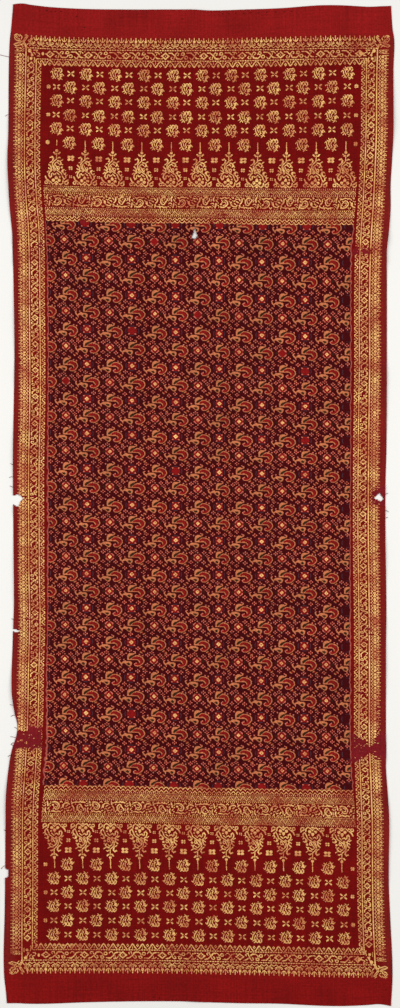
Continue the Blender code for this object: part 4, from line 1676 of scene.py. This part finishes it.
class SHOULDERCLOTH_OT_silk_ground(LoomOperator, bpy.types.Operator):
    """Weave the red silk ground with its dyed field, and lay it out"""

    bl_idname = "shouldercloth.silk_ground"
    bl_label = "Silk ground"

    def make(self, scene):
        sizes = scene.cloth_sizes
        spacing, fine = sizes.grid / MM, sizes.fine_grid / MM
        hems = [sign * (HALF_LENGTH - d) for sign in (-1, 1) for d in (1.2, 4.0, 7.6, HEM_WIDTH, 10.4)]
        across = grid_lines(-HALF_WIDTH, HALF_WIDTH, spacing, fine, FINE_ACROSS, WEAVE_PLACES[1:-1])
        along = grid_lines(-HALF_LENGTH, HALF_LENGTH, spacing, fine, FINE_ALONG, hems)
        columns, rows = len(across), len(along)
        u, v = (a.ravel() for a in np.meshgrid(across, along))
        from_end = HALF_LENGTH - np.abs(v)
        hem = np.clip((HEM_WIDTH - from_end) / 1.4, 0, 1) * np.clip(0.4 + from_end / 1.2, 0, 1)
        top = placed(u, v, sizes.thickness / MM + hem * sizes.hem_rise / MM)
        under = placed(u, v, 0.0)

        cells = np.arange(rows * columns).reshape(rows, columns)
        quads = np.stack([cells[:-1, :-1], cells[:-1, 1:], cells[1:, 1:], cells[1:, :-1]], axis=-1)
        quads = quads.reshape(-1, 4)
        x, y = top[:, 0] / MM + OUTLINE_MIDDLE[0], top[:, 1] / MM + OUTLINE_MIDDLE[1]
        middle_x, middle_y = x[quads].mean(axis=1), y[quads].mean(axis=1)
        gone = np.zeros(len(quads), bool)
        for outline in WORN_HOLES.values():
            gone |= inside_outline(middle_x, middle_y, outline)
        quads = quads[~gone]

        # The open edges, each as a pair of corners running anticlockwise round the cloth
        sides = np.concatenate([quads[:, (n, (n + 1) % 4)] for n in range(4)])
        known = {(a, b) for a, b in sides.tolist()}
        rim = np.array([(a, b) for a, b in sides.tolist() if (b, a) not in known])
        count = len(top)
        rim_faces = np.stack([rim[:, 1], rim[:, 0], rim[:, 0] + count, rim[:, 1] + count], -1)
        faces = np.concatenate([quads, quads[:, ::-1] + count, rim_faces])
        points = np.concatenate([top, under])

        weave = np.tile(np.stack([u, v], -1), (2, 1))
        dye = np.tile(np.stack(dye_place(u, v), -1), (2, 1))
        to_right = BAKE_MARGINS[0] + BAKE_SIZE[0] * (u + HALF_WIDTH) / 2 / HALF_WIDTH
        upward = BAKE_MARGINS[1] + BAKE_SIZE[1] * (v / HALF_LENGTH + 1) / 2
        share = np.stack([to_right, upward], -1)
        bake = np.concatenate([share, share + (BAKE_UNDERSIDE, 0.0)])[faces]
        # The rim's lower corners are set just outside the face's own map
        run = share[rim[:, 1]] - share[rim[:, 0]]
        outward = np.stack([run[:, 1], -run[:, 0]], -1)
        outward = outward / np.linalg.norm(outward, axis=1, keepdims=True) * BAKE_RIM
        rim_rows = bake[2 * len(quads) :]
        rim_rows[:, 2] = share[rim[:, 0]] + outward
        rim_rows[:, 3] = share[rim[:, 1]] + outward
        maps = {"weave": weave[faces.ravel()], "dye": dye[faces.ravel()], "OFBake": bake.reshape(-1, 2)}
        material = silk_material(scene.cloth_silk, scene.cloth_dyes)
        cloth = mesh_piece("silk_ground", points, faces, maps, material)

        worn = cloth.data.attributes.new("worn", "FLOAT", "POINT")
        amount = np.zeros(count)
        for share, outline in WORN_GOLD.values():
            centre = np.mean(outline, axis=0)
            grown = tuple(tuple(centre + (np.array(p) - centre) * RUBBED) for p in outline)
            amount = np.maximum(amount, share * inside_outline(x, y, grown))
        worn.data.foreach_set("value", np.tile(amount, 2).astype(np.float32))
        used = np.zeros(2 * count, bool)
        used[faces.ravel()] = True
        drop_loose_points(cloth.data, used)
        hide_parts("cloth")


def drop_loose_points(mesh, used):
    """Removes the points that the holes left without a face."""
    shape = bmesh.new()
    shape.from_mesh(mesh)
    shape.verts.ensure_lookup_table()
    loose = [shape.verts[int(n)] for n in np.nonzero(~used)[0]]
    bmesh.ops.delete(shape, geom=loose, context="VERTS")
    shape.to_mesh(mesh)
    shape.free()


class SHOULDERCLOTH_OT_side_borders(LoomOperator, bpy.types.Operator):
    """Float the gold borders along both long edges"""

    bl_idname = "shouldercloth.side_borders"
    bl_label = "Side borders"

    def make(self, scene):
        for name, side in (("gold_border_left", -1), ("gold_border_right", 1)):
            gold_piece(name, chart_side(side), gold_thread(scene), scene.cloth_sizes, 2 + side)


class SHOULDERCLOTH_OT_end_borders(LoomOperator, bpy.types.Operator):
    """Float the gold bands across both ends, with their corners"""

    bl_idname = "shouldercloth.end_borders"
    bl_label = "End borders"

    def make(self, scene):
        gold_piece("gold_end_borders", chart_ends(), gold_thread(scene), scene.cloth_sizes, 4)


class SHOULDERCLOTH_OT_cross_bands(LoomOperator, bpy.types.Operator):
    """Float the hatched bands, scrolls and chevrons beside the field"""

    bl_idname = "shouldercloth.cross_bands"
    bl_label = "Cross bands"

    def make(self, scene):
        gold_piece("gold_cross_bands", chart_cross_bands(), gold_thread(scene), scene.cloth_sizes, 5)


class SHOULDERCLOTH_OT_triangles(LoomOperator, bpy.types.Operator):
    """Float the rows of tall triangles and the flowers between them"""

    bl_idname = "shouldercloth.triangles"
    bl_label = "Triangles"

    def make(self, scene):
        gold_piece("gold_triangles", chart_triangles(), gold_thread(scene), scene.cloth_sizes, 6)


class SHOULDERCLOTH_OT_roundels(LoomOperator, bpy.types.Operator):
    """Float the roundels and crossed petals of the end panels"""

    bl_idname = "shouldercloth.roundels"
    bl_label = "Roundels"

    def make(self, scene):
        gold_piece("gold_roundels", chart_roundels(), gold_thread(scene), scene.cloth_sizes, 7)


class SHOULDERCLOTH_OT_field_inlays(LoomOperator, bpy.types.Operator):
    """Inlay the small gold diamonds in the dyed stars"""

    bl_idname = "shouldercloth.field_inlays"
    bl_label = "Field inlays"

    def make(self, scene):
        gold_piece("gold_field_inlays", chart_field_inlays(), gold_thread(scene), scene.cloth_sizes, 8)


class SHOULDERCLOTH_OT_loose_threads(LoomOperator, bpy.types.Operator):
    """Pull a few threads out of the worn long edges"""

    bl_idname = "shouldercloth.loose_threads"
    bl_label = "Loose threads"

    def make(self, scene):
        sizes = scene.cloth_sizes
        surface = sizes.thickness / MM
        runs = []
        for thread in LOOSE_THREADS:
            rooted = placed([thread.side * (HALF_WIDTH - d) for d in (4.0, 0.4)], thread.along, surface + 0.4)
            run = list(rooted)
            for share in (0.35, 0.7, 1.0):
                # A thread bows as it leaves the weave, and its free end drops to the floor
                step = (thread.side * thread.out * share, thread.up * share**2 + math.sin(share * 3), 0)
                run.append(rooted[1] + np.array(step) * MM)
                run[-1][2] = (0.5 + (1 - share) * surface) * MM
            runs.append(np.array(run))
        silk = scene.cloth_silk
        material = strand_material("frayed silk thread", silk.border, silk.worn)
        mesh_piece("loose_threads", *strands(runs, sizes.strand_width / 2), material)


class SHOULDERCLOTH_OT_hem_stitches(LoomOperator, bpy.types.Operator):
    """Set the dark stitches that are left in the hems"""

    bl_idname = "shouldercloth.hem_stitches"
    bl_label = "Hem stitches"

    def make(self, scene):
        sizes = scene.cloth_sizes
        surface = (sizes.thickness + sizes.hem_rise) / MM
        runs = []
        for across, along in HEM_STITCHES:
            across_run = (across - STITCH_HALF, across, across + STITCH_HALF)
            along_run = (along - STITCH_SLANT, along, along + STITCH_SLANT)
            runs.append(placed(across_run, along_run, np.array(STITCH_BOW) + surface))
        material = strand_material("old sewing thread", scene.cloth_silk.stitch, scene.cloth_silk.border)
        mesh_piece("hem_stitches", *strands(runs, sizes.strand_width * STITCH_WIDTH / 2), material)


class SHOULDERCLOTH_OT_stage(LoomOperator, bpy.types.Operator):
    """Set the pale floor, soft lamps and the camera straight above"""

    bl_idname = "shouldercloth.stage"
    bl_label = "Stage"

    def make(self, scene):
        settings = scene.cloth_stage
        floor_mesh = bpy.data.meshes.new("floor")
        corners = [(sx * FLOOR_HALF, sy * FLOOR_HALF, FLOOR_HEIGHT * MM)
                   for sx, sy in ((-1, -1), (1, -1), (1, 1), (-1, 1))]
        floor_mesh.from_pydata(corners, [], [(0, 1, 2, 3)])
        material, _, shader = new_material("matt painted floor", 0.9, 0.1)
        shader.inputs["Base Color"].default_value = settings.floor
        floor_mesh.materials.append(material)
        floor = bpy.data.objects.new("floor", floor_mesh)
        scene.collection.objects.link(floor)

        world = bpy.data.worlds.new("even light")
        world.use_nodes = True
        background = world.node_tree.nodes["Background"]
        background.inputs["Color"].default_value = (1.0, 1.0, 1.0, 1.0)
        background.inputs["Strength"].default_value = settings.sky
        scene.world = world
        for name, place in LAMP_PLACES.items():
            lamp = bpy.data.lights.new(name, "AREA")
            lamp.shape = "RECTANGLE"
            lamp.size, lamp.size_y = LAMP_SIZE
            lamp.energy = settings.lamps
            lit = bpy.data.objects.new(name, lamp)
            lit.location = place
            lit.rotation_euler = (-Vector(place)).to_track_quat("-Z", "Y").to_euler()
            scene.collection.objects.link(lit)

        camera = bpy.data.cameras.new("camera")
        camera.sensor_width = 36.0
        camera.lens = camera.sensor_width * settings.camera_height / settings.view_height
        eye = bpy.data.objects.new("camera", camera)
        eye.location = (CAMERA_OFFSET[0] * MM, CAMERA_OFFSET[1] * MM, settings.camera_height)
        scene.collection.objects.link(eye)
        scene.camera = eye
        scene.view_settings.view_transform = "Standard"


STEPS = (
    SHOULDERCLOTH_OT_stage,
    SHOULDERCLOTH_OT_silk_ground,
    SHOULDERCLOTH_OT_side_borders,
    SHOULDERCLOTH_OT_end_borders,
    SHOULDERCLOTH_OT_cross_bands,
    SHOULDERCLOTH_OT_triangles,
    SHOULDERCLOTH_OT_roundels,
    SHOULDERCLOTH_OT_field_inlays,
    SHOULDERCLOTH_OT_loose_threads,
    SHOULDERCLOTH_OT_hem_stitches,
)


class SHOULDERCLOTH_PT_steps(bpy.types.Panel):
    """The steps that make the cloth, in order"""

    bl_idname = "SHOULDERCLOTH_PT_steps"
    bl_label = "Shoulder cloth"
    bl_space_type = "VIEW_3D"
    bl_region_type = "UI"
    bl_category = "Shoulder cloth"

    def draw(self, context):
        for step in STEPS:
            self.layout.operator(step.bl_idname)


GROUPS = {
    "cloth_sizes": ClothSizes,
    "cloth_silk": SilkColours,
    "cloth_dyes": DyeColours,
    "cloth_gold": GoldColours,
    "cloth_stage": StageSettings,
}


def register():
    for kind in (*GROUPS.values(), *STEPS, SHOULDERCLOTH_PT_steps):
        bpy.utils.register_class(kind)
    for name, kind in GROUPS.items():
        setattr(bpy.types.Scene, name, bpy.props.PointerProperty(type=kind))


def unregister():
    for name in GROUPS:
        delattr(bpy.types.Scene, name)
    for kind in (SHOULDERCLOTH_PT_steps, *STEPS[::-1], *GROUPS.values()):
        bpy.utils.unregister_class(kind)


def main():
    register()
    for step in STEPS:
        group, name = step.bl_idname.split(".")
        getattr(getattr(bpy.ops, group), name)()


if __name__ == "__main__":
    main()
